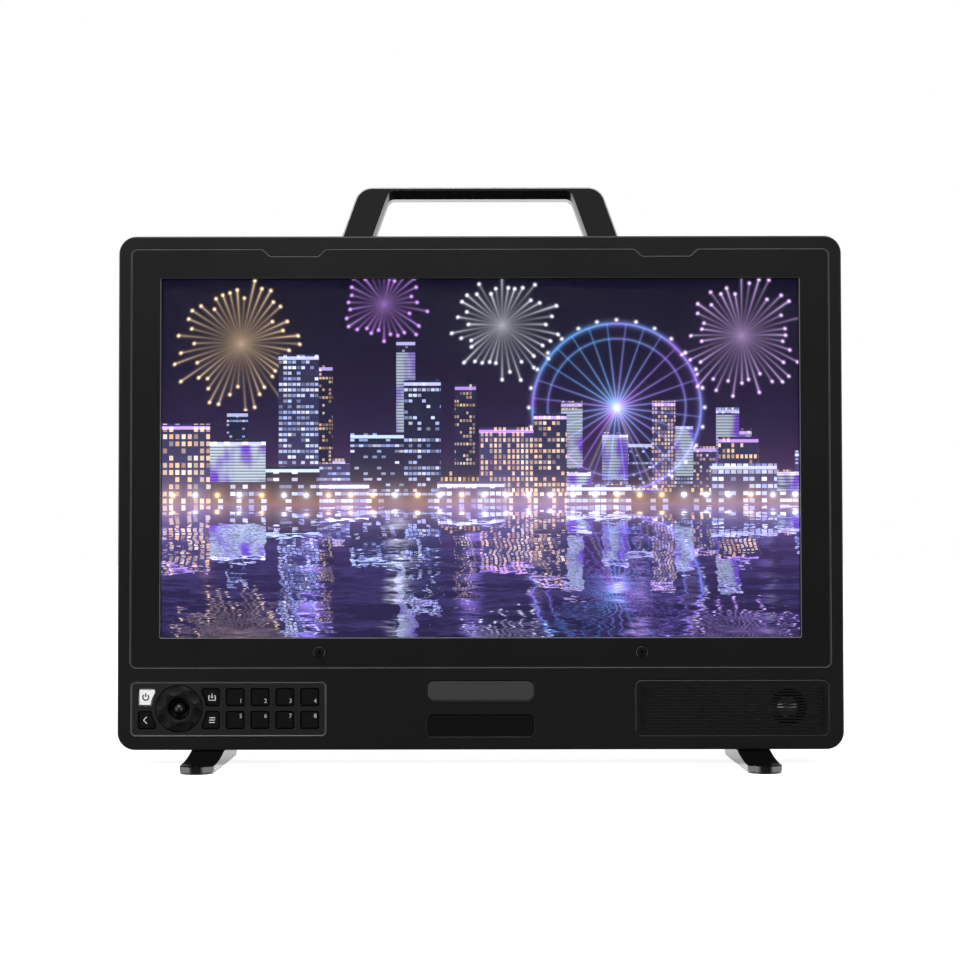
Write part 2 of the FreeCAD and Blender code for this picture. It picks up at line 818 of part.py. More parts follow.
def jog_ring():
    """Domed wheel with finger scallops round its rim and a hub that turns on the encoder's neck."""
    crown = CONTROL_INSET - JOG_PROUD
    rim = crown + JOG_RIM_DROP
    hub_r = neck_r + RUN_FIT
    profile = [
        (JOG_R - JOG_EDGE, rim),
        (JOG_R, rim + JOG_EDGE),
        (JOG_R, jog_back),
        (hub_r + JOG_HUB_T, jog_back),
        (hub_r + JOG_HUB_T, flange_front - FIT),
        (hub_r, flange_front - FIT),
        (hub_r, jog_back),
        (JOG_HOLE_R, jog_back),
        (JOG_HOLE_R, crown + JOG_HOLE_DROP),
    ]
    wheel = turned(jog_x, control_z, profile, (JOG_CROWN_R, crown))
    depth = crown + SCALLOP_SINK - SCALLOP_R
    scallops = []
    for i in range(SCALLOP_COUNT):
        angle = math.radians(SCALLOP_FIRST + 360 * i / SCALLOP_COUNT)
        centre = Vector(jog_x + JOG_R * math.cos(angle), y_at(depth), control_z + JOG_R * math.sin(angle))
        scallops.append(Part.makeSphere(SCALLOP_R, centre))
    return wheel.cut(scallops)


def cross_pin(direction, start, end, radius):
    """Two round pins on opposite sides of the joystick's pivot, between two distances from it."""
    pivot = Vector(jog_x, y_at(pivot_depth), control_z)
    sides = (direction, -direction)
    return [Part.makeCylinder(radius, end - start, pivot + side * start, side) for side in sides]


def encoder_base():
    """Flange on the key board with the neck that carries the jog wheel and the gimbal's pins."""
    flange = tube(jog_x, control_z, ENCODER_FLANGE_R, neck_bore, flange_front, key_board_front)
    neck = tube(jog_x, control_z, neck_r, neck_bore, jog_back + NECK_GAP, flange_front)
    holes = cross_pin(Vector(1, 0, 0), gimbal_r, neck_r + OVERSHOOT, GIMBAL_PIN_R + RUN_FIT)
    return join([flange, neck]).cut(holes)


def joystick_gimbal():
    """Ring with two side pins that tips the joystick up and down."""
    half = GIMBAL_L / 2
    ring = tube(jog_x, control_z, gimbal_r, gimbal_r - GIMBAL_T, pivot_depth - half, pivot_depth + half)
    holes = cross_pin(Vector(0, 0, 1), 0, neck_r, GIMBAL_PIN_R + RUN_FIT)
    pins = cross_pin(Vector(1, 0, 0), gimbal_r - GIMBAL_T / 2, neck_r - PIN_END_GAP, GIMBAL_PIN_R)
    return join([ring.cut(holes)] + pins)


def joystick_sleeve():
    """Sleeve with an upper and a lower pin that tips the joystick sideways and guides its shaft."""
    half = SLEEVE_L / 2
    bore = STICK_SHAFT_R + RUN_FIT
    sleeve = tube(jog_x, control_z, SLEEVE_R, bore, pivot_depth - half, pivot_depth + half)
    pins = cross_pin(Vector(0, 0, 1), (SLEEVE_R + bore) / 2, gimbal_r - PIN_END_GAP, GIMBAL_PIN_R)
    return join([sleeve] + pins)


def joystick_nub():
    """Round joystick tip on a shaft with a collar behind the sleeve."""
    centre = CONTROL_INSET - JOG_PROUD - STICK_PROUD + STICK_BALL_R
    ball = Part.makeSphere(STICK_BALL_R, Vector(jog_x, y_at(centre), control_z))
    shaft = rod(jog_x, control_z, STICK_SHAFT_R, centre, collar_back)
    collar = rod(jog_x, control_z, STICK_COLLAR_R, collar_front, collar_back)
    return join([ball, shaft, collar])


def tally_lens():
    """Window of the tally light with a wider light guide behind the front wall."""
    lens = bevelled(tally_outline(), TALLY_INSET, front_wall, TALLY_INSET)
    guide = slab(grow(tally_outline(), TALLY_FLANGE), front_wall, front_wall + TALLY_FLANGE_T)
    return join([lens, guide])


def tally_board():
    """Lamp board behind the tally light."""
    front = front_wall + TALLY_FLANGE_T
    return slab(tally_outline(), front, front + BOARD_T)


def name_plate():
    """Bare plate in its shallow recess."""
    return bevelled(name_outline(), NAME_INSET, NAME_INSET + NAME_T, NAME_INSET)


def speaker_grille():
    """Plate with level slots in front of the speaker."""
    plate = bevelled(grille_outline(), SPEAKER_INSET, grille_back, EDGE_BREAK)
    count = int((SPEAKER_PANEL_H - 2 * GRILLE_BORDER - SLOT_H) / SLOT_PITCH) + 1
    lowest = panel_z - SLOT_PITCH * (count - 1) / 2
    length = SPEAKER_PANEL_W - 2 * GRILLE_BORDER
    slots = []
    for i in range(count):
        slot = rect(panel_x, lowest + i * SLOT_PITCH, length, SLOT_H, SLOT_H / 2)
        slots.append(slab(slot, 0, grille_back + OVERSHOOT))
    return plate.cut(slots)


def grille_felt():
    """Thin dust felt behind the grille, open in front of the speaker."""
    sheet = slab(grow(speaker_opening(), -FIT), grille_back, felt_back)
    return sheet.cut(rod(speaker_x, panel_z, SPEAKER_R - FELT_LAP, 0, felt_back + OVERSHOOT))


def speaker_basket():
    """Plate on the back of the front wall with the speaker's ring and bowl."""
    inner = SPEAKER_R + BASKET_GAP
    outer = inner + BASKET_T
    back = front_wall + BASKET_DEPTH
    hole = COIL_R + CONE_T
    profile = [
        (inner, felt_back),
        (outer, felt_back),
        (outer, front_wall + BASKET_T),
        (MAGNET_R, back),
        (hole, back),
        (hole, back - BASKET_T),
        (MAGNET_R - BASKET_T / 2, back - BASKET_T),
        (inner, front_wall + BASKET_T),
    ]
    plate = slab(grow(speaker_opening(), BASKET_LAP), front_wall, front_wall + BASKET_T)
    plate = plate.cut(rod(speaker_x, panel_z, inner, 0, back))
    return join([plate, turned(speaker_x, panel_z, profile)])


def speaker_cone():
    """Cone with a domed middle and its coil tube."""
    rim = felt_back + CONE_STROKE + BASKET_GAP
    valley = rim + CONE_DEPTH
    apex = valley - DOME_RISE
    coil_back = valley + CONE_T + COIL_L
    dome_radius = (DOME_R ** 2 + DOME_RISE ** 2) / (2 * DOME_RISE)
    half_angle = math.asin(DOME_R / dome_radius) / 2
    shoulder = (dome_radius * math.sin(half_angle), apex + dome_radius * (1 - math.cos(half_angle)))
    profile = [
        (DOME_R, valley),
        (SPEAKER_R, rim),
        (SPEAKER_R, rim + CONE_T),
        (DOME_R, valley + CONE_T),
        (COIL_R, valley + CONE_T),
        (COIL_R, coil_back),
        (COIL_R - CONE_T, coil_back),
        (COIL_R - CONE_T, valley + CONE_T),
        (0, valley + CONE_T),
        (0, apex),
    ]
    return turned(speaker_x, panel_z, profile, shoulder)


def speaker_magnet():
    """Round magnet on the back of the basket."""
    front = front_wall + BASKET_DEPTH
    return rod(speaker_x, panel_z, MAGNET_R, front, front + MAGNET_T)


def hump_outline(inset):
    """Edge of the hump at the foot of its slope, moved inwards."""
    middle = (hump_low + hump_high) / 2
    return grow(rect(0, middle, 2 * hump_half, hump_high - hump_low, HUMP_R), -inset)


def vent_slots(x, z, radius, front, back):
    """Level slots that fill a circle."""
    rows = int((radius - VENT_SLOT_W) / VENT_PITCH)
    slots = []
    for i in range(-rows, rows + 1):
        rise = i * VENT_PITCH
        length = 2 * math.sqrt(radius ** 2 - rise ** 2)
        slots.append(slab(rect(x, z + rise, length, VENT_SLOT_W, VENT_SLOT_W / 2), front, back))
    return slots


def intake_slots():
    """Level slots on both sides of the hump, through the rear cover's plate."""
    x = body_w / 2 - WALL - INTAKE_INSET - INTAKE_SLOT_L / 2
    low = base_z + INTAKE_LOW
    rows = int((body_h - INTAKE_LOW - INTAKE_HIGH) / VENT_PITCH)
    slots = []
    for side in (-x, x):
        for i in range(rows):
            slot = rect(side, low + i * VENT_PITCH, INTAKE_SLOT_L, VENT_SLOT_W, VENT_SLOT_W / 2)
            slots.append(slab(slot, cover_front - OVERSHOOT, FRAME_DEPTH + OVERSHOOT))
    return slots


def vesa_places():
    """Centres (x, z) of the wall-mount holes."""
    half = VESA_PITCH / 2
    return [(x, vesa_z + z) for x in (-half, half) for z in (-half, half)]


def rear_cover():
    """Plate inside the frame's walls with a hollow hump, vents and openings for sockets and mount bosses."""
    plate = slab(grow(cavity_outline(), -LOOSE_FIT), cover_front, FRAME_DEPTH)
    hump = flare(hump_outline(0), FRAME_DEPTH, hump_outline(HUMP_SLOPE), body_depth)
    hump = hump.makeFillet(HUMP_EDGE, edges_at(hump, body_depth))
    slope = HUMP_SLOPE * (hump_wall - FRAME_DEPTH) / HUMP_DEPTH
    cuts = [flare(hump_outline(COVER_T), FRAME_DEPTH, hump_outline(COVER_T + slope), hump_wall)]
    cuts.append(slab(hump_outline(COVER_T), cover_front - OVERSHOOT, FRAME_DEPTH))
    cuts.append(slab(rect(0, io_z, IO_W, IO_H, IO_R), cover_front - OVERSHOOT, FRAME_DEPTH + OVERSHOOT))
    for x, z in cover_screw_places():
        cuts.append(rod(x, z, M4_R + SCREW_FIT, cover_front - OVERSHOOT, FRAME_DEPTH + OVERSHOOT))
    for x, z in vesa_places():
        cuts.append(rod(x, z, VESA_BOSS_R + FIT, hump_wall - OVERSHOOT, body_depth + OVERSHOOT))
    for x in (-fan_x, fan_x):
        cuts += vent_slots(x, fan_z, FAN_BORE_R, hump_wall - OVERSHOOT, body_depth + OVERSHOOT)
    return join([plate, hump]).cut(cuts + intake_slots())


def rear_screws():
    """Screws round the rear cover."""
    made = []
    for x, z in cover_screw_places():
        seat = Vector(x, y_at(FRAME_DEPTH), z)
        length = COVER_T + COVER_SCREW_BITE
        made.append(screw(seat, Vector(0, -1, 0), M4_R, length, M4_HEAD_R, M4_HEAD_T, M4_SOCKET))
    return Part.makeCompound(made)


def vesa_plate():
    """Steel plate inside the hump with four tapped bosses that reach its outer face."""
    front = hump_wall - VESA_PLATE_T
    plate = slab(rect(0, vesa_z, VESA_PLATE, VESA_PLATE, VESA_PLATE_R), front, hump_wall)
    bosses = [rod(x, z, VESA_BOSS_R, hump_wall, body_depth) for x, z in vesa_places()]
    holes = [rod(x, z, VESA_HOLE_R, front - OVERSHOOT, body_depth + OVERSHOOT) for x, z in vesa_places()]
    return join([plate] + bosses).cut(holes)


def post_places():
    """Centres (x, z) of the pillars between the panel tray and the mount plate."""
    return [(x, vesa_z + z) for x in (-post_half, post_half) for z in (-post_half, post_half)]


def vesa_posts():
    """Pillars that carry the mount plate on the panel tray."""
    back = hump_wall - VESA_PLATE_T
    return Part.makeCompound([rod(x, z, POST_R, tray_back, back) for x, z in post_places()])


def main_board():
    """Circuit board on the tray's pillars, with holes for the mount pillars."""
    board = slab(rect(0, vesa_z, main_board_w, main_board_h, BOARD_R), board_front, board_back)
    return board.cut([rod(x, z, POST_R + LOOSE_FIT, 0, board_back + OVERSHOOT) for x, z in post_places()])


def heat_sink():
    """Base with upright fins on the main board."""
    base_back = board_back + SINK_BASE_T
    count = int((sink_size - SINK_FIN_T) / SINK_FIN_PITCH) + 1
    first = -SINK_FIN_PITCH * (count - 1) / 2
    pieces = [slab(rect(0, vesa_z, sink_size, sink_size, 0), board_back, base_back)]
    for i in range(count):
        fin = rect(first + i * SINK_FIN_PITCH, vesa_z, SINK_FIN_T, sink_size, 0)
        pieces.append(slab(fin, base_back, board_back + SINK_HEIGHT))
    return join(pieces)


def fan_frames():
    """Two square fan housings on the hump's rear wall, each with a spider and a bearing tube."""
    front = hump_wall - FAN_T
    base = hump_wall - FAN_BASE_T
    made = []
    for x in (-fan_x, fan_x):
        box = slab(rect(x, fan_z, FAN_SIZE, FAN_SIZE, FAN_R), front, hump_wall)
        box = box.cut(rod(x, fan_z, FAN_BORE_R, front - OVERSHOOT, hump_wall + OVERSHOOT))
        spider = [rod(x, fan_z, FAN_HUB_R, base, hump_wall)]
        spider.append(rod(x, fan_z, FAN_BEARING_R, base - FAN_BEARING_L, base))
        spider.append(slab(rect(x, fan_z, 2 * FAN_BORE_R + FAN_STRUT_W, FAN_STRUT_W, 0), base, hump_wall))
        spider.append(slab(rect(x, fan_z, FAN_STRUT_W, 2 * FAN_BORE_R + FAN_STRUT_W, 0), base, hump_wall))
        bore = rod(x, fan_z, FAN_SHAFT_R + RUN_FIT, front, base + FAN_BASE_T / 2)
        made.append(join([box] + spider).cut(bore))
    return Part.makeCompound(made)


def fan_rotor(x):
    """Hub cup on a shaft with slanted blades, clear of its housing."""
    front = hump_wall - FAN_T + FAN_END_GAP
    base = hump_wall - FAN_BASE_T
    back = base - FAN_END_GAP / 2
    cap = front + FAN_WALL
    tip = FAN_BORE_R - FAN_TIP_GAP
    hub = rod(x, fan_z, FAN_HUB_R, front, back)
    hollow = rod(x, fan_z, FAN_HUB_R - FAN_WALL, cap, back + OVERSHOOT)
    centre = Vector(x, y_at((front + back) / 2), fan_z)
    chord = (back - front) / math.sin(math.radians(FAN_BLADE_SLANT))
    blades = []
    for i in range(FAN_BLADES):
        blade = Part.makeBox(tip, chord, FAN_BLADE_T, Vector(0, -chord / 2, -FAN_BLADE_T / 2))
        blade.rotate(Vector(0, 0, 0), Vector(1, 0, 0), 90 - FAN_BLADE_SLANT)
        blade.rotate(Vector(0, 0, 0), Vector(0, 1, 0), 360 * i / FAN_BLADES)
        blade.translate(centre)
        blades.append(blade)
    sweep = tube(x, fan_z, tip, FAN_HUB_R - FAN_WALL / 2, front, back)
    shaft = rod(x, fan_z, FAN_SHAFT_R, front, base)
    wheel = [hub.cut(hollow), shaft] + [blade.common(sweep) for blade in blades]
    return join(wheel)


def bnc_places():
    """Centres (x, z) of the coaxial jacks, in two rows."""
    first = BNC_X - BNC_PITCH * (BNC_COLUMNS - 1) / 2
    columns = [first + i * BNC_PITCH for i in range(BNC_COLUMNS)]
    return [(x, io_z + rise) for rise in (SOCKET_RISE, -SOCKET_RISE) for x in columns]


def hdmi_places():
    """Centres (x, z) of the two display sockets."""
    return [(HDMI_X, io_z + SOCKET_RISE), (HDMI_X, io_z - SOCKET_RISE)]


def io_plate():
    """Plate behind the cover's opening with a hole for each socket."""
    edge = grow(rect(0, io_z, IO_W, IO_H, IO_R), IO_LAP)
    plate = slab(edge, io_plate_front, cover_front)
    cuts = [rod(x, z, BNC_R + FIT, 0, FRAME_DEPTH) for x, z in bnc_places()]
    for x, z in hdmi_places():
        cuts.append(slab(rect(x, z, HDMI_W + 2 * FIT, HDMI_H + 2 * FIT, HDMI_R), 0, FRAME_DEPTH))
    cuts.append(slab(rect(NETWORK_X, io_z, NETWORK_W + 2 * FIT, NETWORK_H + 2 * FIT, 0), 0, FRAME_DEPTH))
    cuts.append(rod(INLET_X, io_z, INLET_CUP_R + INLET_WALL + FIT, 0, FRAME_DEPTH))
    return plate.cut(cuts)


def io_board():
    """Circuit board in front of the socket plate, open round the power inlet."""
    board = slab(rect(0, io_z, IO_W, IO_H, IO_R), io_board_back - BOARD_T, io_board_back)
    return board.cut(rod(INLET_X, io_z, INLET_CUP_R + INLET_WALL + LOOSE_FIT, 0, FRAME_DEPTH))


def bnc_jacks():
    """Coaxial jacks: a square body on the board and a round barrel with a pin and two bayonet lugs."""
    end = cover_front + BNC_L
    made = []
    for x, z in bnc_places():
        body = slab(rect(x, z, BNC_BODY, BNC_BODY, HDMI_R), io_board_back, io_plate_front)
        barrel = rod(x, z, BNC_R, io_plate_front, end)
        lug_reach = BNC_R + BNC_LUG_L
        lug_place = Vector(x - lug_reach, y_at(end - BNC_LUG_BACK), z)
        lugs = Part.makeCylinder(BNC_LUG_R, 2 * lug_reach, lug_place, Vector(1, 0, 0))
        bore = rod(x, z, BNC_BORE_R, end - BNC_BORE_L, end + OVERSHOOT)
        pin = rod(x, z, BNC_PIN_R, end - BNC_BORE_L, end - BNC_LUG_BACK)
        made.append(join([join([body, barrel, lugs]).cut(bore), pin]))
    return Part.makeCompound(made)


def hdmi_sockets():
    """Flat display sockets with a tongue inside."""
    end = io_board_back + HDMI_L
    made = []
    for x, z in hdmi_places():
        shell = slab(rect(x, z, HDMI_W, HDMI_H, HDMI_R), io_board_back, end)
        inner = rect(x, z, HDMI_W - 2 * HDMI_WALL, HDMI_H - 2 * HDMI_WALL, HDMI_R - HDMI_WALL)
        hollow = slab(inner, io_board_back + HDMI_TONGUE_T, end + OVERSHOOT)
        width = HDMI_W - 2 * HDMI_WALL - 2 * HDMI_TONGUE_MARGIN
        tongue = slab(rect(x, z, width, HDMI_TONGUE_T, 0), io_board_back, end - HDMI_TONGUE_MARGIN)
        made.append(join([shell.cut(hollow), tongue]))
    return Part.makeCompound(made)


def network_socket():
    """Square socket with an open well."""
    end = cover_front + SOCKET_PROUD
    body = slab(rect(NETWORK_X, io_z, NETWORK_W, NETWORK_H, 0), io_board_back, end)
    well = rect(NETWORK_X, io_z, NETWORK_CAVITY_W, NETWORK_CAVITY_H, 0)
    return body.cut(slab(well, end - NETWORK_CAVITY_L, end + OVERSHOOT))


def inlet_pin_places():
    """Centres (x, z) of the pins in the power inlet."""
    places = []
    for i in range(INLET_PINS):
        angle = math.radians(45 + 360 * i / INLET_PINS)
        places.append((INLET_X + INLET_PIN_RING * math.cos(angle), io_z + INLET_PIN_RING * math.sin(angle)))
    return places


def power_inlet():
    """Round power inlet: a cup behind a square flange, with holes in its floor for the pins."""
    face = cover_front + INLET_FLANGE_T
    floor = face - INLET_DEPTH
    flange = slab(rect(INLET_X, io_z, INLET_FLANGE, INLET_FLANGE, IO_R), cover_front, face)
    cup = rod(INLET_X, io_z, INLET_CUP_R + INLET_WALL, floor - INLET_FLOOR_T, face)
    cuts = [rod(INLET_X, io_z, INLET_CUP_R, floor, face + OVERSHOOT)]
    for x, z in inlet_pin_places():
        cuts.append(rod(x, z, INLET_PIN_R + RUN_FIT, 0, face))
    return join([flange, cup]).cut(cuts)


def power_pins():
    """Pins of the power inlet, through its floor."""
    floor = cover_front + INLET_FLANGE_T - INLET_DEPTH
    tail = floor - 2 * INLET_FLOOR_T
    tip = floor + INLET_PIN_L
    return Part.makeCompound([rod(x, z, INLET_PIN_R, tail, tip) for x, z in inlet_pin_places()])


def handle_opening(grip, widen):
    """Outline of the hand opening under a grip of some thickness, with its sides widened."""
    lean = math.tan(math.radians(HANDLE_LEAN))
    inner = HANDLE_HALF - HANDLE_LEG + widen
    ceiling = top_z + HANDLE_RISE - grip
    low = inner + OVERSHOOT * lean
    high = inner - (HANDLE_RISE - grip) * lean
    return [
        (-low, top_z - OVERSHOOT, 0),
        (low, top_z - OVERSHOOT, 0),
        (high, ceiling, HANDLE_INNER_R),
        (-high, ceiling, HANDLE_INNER_R),
    ]


def handle():
    """Flat bar handle with leaning legs, bevelled towards the hand opening from both faces."""
    top = top_z + HANDLE_RISE
    shoulder = HANDLE_HALF - HANDLE_RISE * math.tan(math.radians(HANDLE_LEAN))
    edge = [
        (-HANDLE_HALF, top_z, 0),
        (HANDLE_HALF, top_z, 0),
        (shoulder, top, HANDLE_TOP_R),
        (-shoulder, top, HANDLE_TOP_R),
    ]
    front = HANDLE_SETBACK
    back = HANDLE_SETBACK + HANDLE_DEPTH
    bar = slab(edge, front, back)
    rims = [e for e in edges_at(bar, front) + edges_at(bar, back) if e.BoundBox.ZMax > top_z + TINY]
    bar = bar.makeChamfer(HANDLE_BREAK, rims)
    through = handle_opening(HANDLE_GRIP, 0)
    wide = handle_opening(HANDLE_LIP, HANDLE_LEG_BEVEL)
    cuts = [slab(through, front - OVERSHOOT, back + OVERSHOOT)]
    cuts.append(flare(wide, front, through, front + HANDLE_BEVEL_DEPTH))
    cuts.append(flare(through, back - HANDLE_BEVEL_DEPTH, wide, back))
    for x, depth in handle_screw_places():
        cuts.append(post(x, depth, M4_R + SCREW_FIT, top_z - OVERSHOOT, top_z + HANDLE_SCREW_BITE))
    return bar.cut(cuts)


def handle_screws():
    """Screws from inside the frame into the handle's legs."""
    made = []
    for x, depth in handle_screw_places():
        seat = Vector(x, y_at(depth), top_z - WALL)
        length = WALL + HANDLE_SCREW_BITE - OVERSHOOT
        made.append(screw(seat, Vector(0, 0, 1), M4_R, length, M4_HEAD_R, M4_HEAD_T, M4_SOCKET))
    return Part.makeCompound(made)


def round_end(x, y, reach, z):
    """Half circle in plan that bulges along Y from a centre, from its right side where it points back."""
    start = Vector(x + reach, y, z)
    return Part.Arc(start, Vector(x, y + reach, z), Vector(x - reach, y, z)).toShape()


def long_plate(x, inset, low, high):
    """Plate with round ends in the plan of a foot, moved inwards and between two heights."""
    half = FOOT_W / 2
    radius = half - inset
    front = y_at(-TOE_REACH) + half
    back = y_at(FOOT_LENGTH - TOE_REACH) - half
    left = x - radius
    right = x + radius
    edges = [
        Part.LineSegment(Vector(right, front, low), Vector(right, back, low)).toShape(),
        round_end(x, back, radius, low),
        Part.LineSegment(Vector(left, back, low), Vector(left, front, low)).toShape(),
        round_end(x, front, -radius, low),
    ]
    return Part.Face(Part.Wire(edges)).extrude(Vector(0, 0, high - low))


def toe_ramp(x):
    """Cutter over the toe of a foot: a hollow ramp down to a thin flat toe."""
    left = x - FOOT_W
    toe_z = PAD_T + TOE_T
    head = Vector(left, y_at(0), base_z)
    middle = Vector(left, y_at(-RAMP_MID), base_z - RAMP_MID_DROP)
    ramp_end = Vector(left, y_at(TOE_FLAT - TOE_REACH), toe_z)
    tip = Vector(left, y_at(-TOE_REACH - OVERSHOOT), toe_z)
    above = Vector(0, 0, base_z + OVERSHOOT - toe_z)
    edges = [
        Part.Arc(head, middle, ramp_end).toShape(),
        Part.LineSegment(ramp_end, tip).toShape(),
        Part.LineSegment(tip, tip + above).toShape(),
        Part.LineSegment(tip + above, head + Vector(0, 0, OVERSHOOT)).toShape(),
        Part.LineSegment(head + Vector(0, 0, OVERSHOOT), head).toShape(),
    ]
    return Part.Face(Part.Wire(edges)).extrude(Vector(2 * FOOT_W, 0, 0))


def foot(x):
    """Long metal foot with a ramped toe, eased upper edges and countersunk holes from below."""
    bar = long_plate(x, 0, PAD_T, base_z).cut(toe_ramp(x))
    rims = []
    for edge in bar.Edges:
        box = edge.BoundBox
        if box.ZMin > PAD_T + TOE_T - TINY and box.YLength > TINY and box.ZLength < FOOT_T / 2 + TINY:
            rims.append(edge)
    bar = bar.makeChamfer(FOOT_EDGE, rims)
    cuts = []
    for place_x, depth in foot_screw_places():
        if place_x == x:
            cone_low = PAD_T + FIT
            seat = Vector(x, y_at(depth), cone_low)
            cuts.append(post(x, depth, M4_R + FIT, PAD_T, base_z + OVERSHOOT))
            cuts.append(post(x, depth, M4_HEAD_R + FIT, PAD_T - OVERSHOOT, cone_low))
            cuts.append(Part.makeCone(M4_HEAD_R + FIT, M4_R + FIT, COUNTERSINK, seat, Vector(0, 0, 1)))
    return bar.cut(cuts)


def foot_screws():
    """Countersunk screws from under the feet into the frame's lower wall."""
    made = []
    for x, depth in foot_screw_places():
        seat = Vector(x, y_at(depth), PAD_T + FIT)
        head = Part.makeCone(M4_HEAD_R, M4_R, COUNTERSINK, seat, Vector(0, 0, 1))
        shank = post(x, depth, M4_R, PAD_T + FIT + COUNTERSINK, base_z + WALL - FIT)
        socket = hex_recess(seat, Vector(0, 0, 1), M4_SOCKET, COUNTERSINK / 2)
        made.append(join([head, shank]).cut(socket))
    return Part.makeCompound(made)


def foot_pads():
    """Rubber soles under both feet."""
    return Part.makeCompound([long_plate(x, PAD_INSET, 0, PAD_T) for x in (-foot_x, foot_x)])


FIXED_PIECES = (
    front_frame, screen_bezel, bezel_screws, cover_glass, panel_gasket, lcd_panel, diffuser_sheet, led_bars,
    panel_tray, control_plate, key_switches, key_board, encoder_base, tally_lens, tally_board, name_plate,
    speaker_grille, grille_felt, speaker_basket, speaker_magnet, rear_cover, rear_screws, vesa_plate,
    vesa_posts, main_board, heat_sink, fan_frames, io_plate, io_board, bnc_jacks, hdmi_sockets,
    network_socket, power_inlet, power_pins, handle, handle_screws, foot_screws, foot_pads,
)
MOVING_PIECES = (jog_ring, joystick_gimbal, joystick_sleeve, joystick_nub, speaker_cone)


def main():
    """Build every piece and write each to its own file."""
    os.makedirs("parts", exist_ok=True)
    pieces = {make.__name__: make() for make in FIXED_PIECES + MOVING_PIECES}
    pieces.update(keys())
    pieces["foot_left"] = foot(-foot_x)
    pieces["foot_right"] = foot(foot_x)
    pieces["fan_rotor_left"] = fan_rotor(-fan_x)
    pieces["fan_rotor_right"] = fan_rotor(fan_x)
    for name, shape in pieces.items():
        shape.exportStep(f"parts/{name}.step")


if __name__ == "__main__":
    main()
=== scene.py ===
import logging
import math
from collections.abc import Callable, Iterator
from contextlib import contextmanager
from dataclasses import dataclass
from enum import Enum
from typing import Union

import bpy
from bpy.types import Material, Node, NodeSocket, NodeTree, Object
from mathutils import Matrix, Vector


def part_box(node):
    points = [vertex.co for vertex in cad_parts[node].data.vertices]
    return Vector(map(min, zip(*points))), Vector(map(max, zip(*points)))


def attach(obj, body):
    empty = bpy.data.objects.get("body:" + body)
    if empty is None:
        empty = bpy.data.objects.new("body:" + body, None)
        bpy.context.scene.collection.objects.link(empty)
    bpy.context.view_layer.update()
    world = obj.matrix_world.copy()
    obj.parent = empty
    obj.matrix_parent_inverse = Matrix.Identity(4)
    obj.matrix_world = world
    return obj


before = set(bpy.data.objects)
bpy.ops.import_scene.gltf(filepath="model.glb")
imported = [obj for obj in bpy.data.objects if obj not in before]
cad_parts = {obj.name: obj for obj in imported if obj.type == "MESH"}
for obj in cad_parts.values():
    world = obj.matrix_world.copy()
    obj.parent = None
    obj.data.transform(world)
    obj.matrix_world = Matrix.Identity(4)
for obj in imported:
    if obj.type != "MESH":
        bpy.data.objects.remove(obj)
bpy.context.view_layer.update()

LOG = logging.getLogger("production_monitor")
MM = 0.001
NUMBER = "NodeSocketFloat"
COLOUR = "NodeSocketColor"
Colour = tuple[float, float, float]
Place = tuple[float, float, float]
Value = Union["Field", float]
Shade = Union["Field", Colour]
BLACK: Colour = (0.0, 0.0, 0.0)
WHITE: Colour = (1.0, 1.0, 1.0)


class Facing(Enum):
    """The side of the monitor that printed marks are read from, with the turn of the lettering about Z."""

    FRONT = 0.0
    BACK = math.pi


class Field:
    """A value that varies over a surface: an output socket that can be used in sums."""

    def __init__(self, graph: "Graph", socket: NodeSocket) -> None:
        """Keep the socket and the graph that new nodes go into."""
        self.graph = graph
        self.socket = socket

    def __add__(self, other: Value) -> "Field":
        """Sum of two values."""
        return self.graph.math("ADD", self, other)

    def __radd__(self, other: float) -> "Field":
        """Sum of a number and this value."""
        return self.graph.math("ADD", other, self)

    def __sub__(self, other: Value) -> "Field":
        """Difference of two values."""
        return self.graph.math("SUBTRACT", self, other)

    def __rsub__(self, other: float) -> "Field":
        """A number less this value."""
        return self.graph.math("SUBTRACT", other, self)

    def __mul__(self, other: Value) -> "Field":
        """Product of two values."""
        return self.graph.math("MULTIPLY", self, other)

    def __rmul__(self, other: float) -> "Field":
        """Product of a number and this value."""
        return self.graph.math("MULTIPLY", other, self)

    def __truediv__(self, other: Value) -> "Field":
        """Quotient of two values."""
        return self.graph.math("DIVIDE", self, other)

    def __rtruediv__(self, other: float) -> "Field":
        """A number over this value."""
        return self.graph.math("DIVIDE", other, self)

    def __pow__(self, other: float) -> "Field":
        """This value raised to a power."""
        return self.graph.math("POWER", self, other)

    def below(self, limit: Value) -> "Field":
        """1 where this value is under a limit, else 0."""
        return self.graph.math("LESS_THAN", self, limit)

    def above(self, limit: Value) -> "Field":
        """1 where this value is over a limit, else 0."""
        return self.graph.math("GREATER_THAN", self, limit)

    def between(self, low: Value, high: Value) -> "Field":
        """1 where this value lies between two limits, else 0."""
        return self.above(low) * self.below(high)

    def size(self) -> "Field":
        """This value without its sign."""
        return self.graph.math("ABSOLUTE", self)

    def floor(self) -> "Field":
        """Whole part of this value."""
        return self.graph.math("FLOOR", self)

    def fract(self) -> "Field":
        """What is left of this value over its whole part."""
        return self.graph.math("FRACT", self)

    def least(self, limit: Value) -> "Field":
        """The larger of this value and a limit."""
        return self.graph.math("MAXIMUM", self, limit)

    def fade(self, rate: float) -> "Field":
        """Exponential fall from 1 as this value grows."""
        return self.graph.math("EXPONENT", self * -rate)

    def eased(self, start: float, end: float) -> "Field":
        """Smooth rise from 0 at one value to 1 at another."""
        node = self.graph.node("ShaderNodeMapRange", interpolation_type="SMOOTHSTEP")
        self.graph.fill(node, Value=self, From_Min=start, From_Max=end)
        return Field(self.graph, node.outputs["Result"])


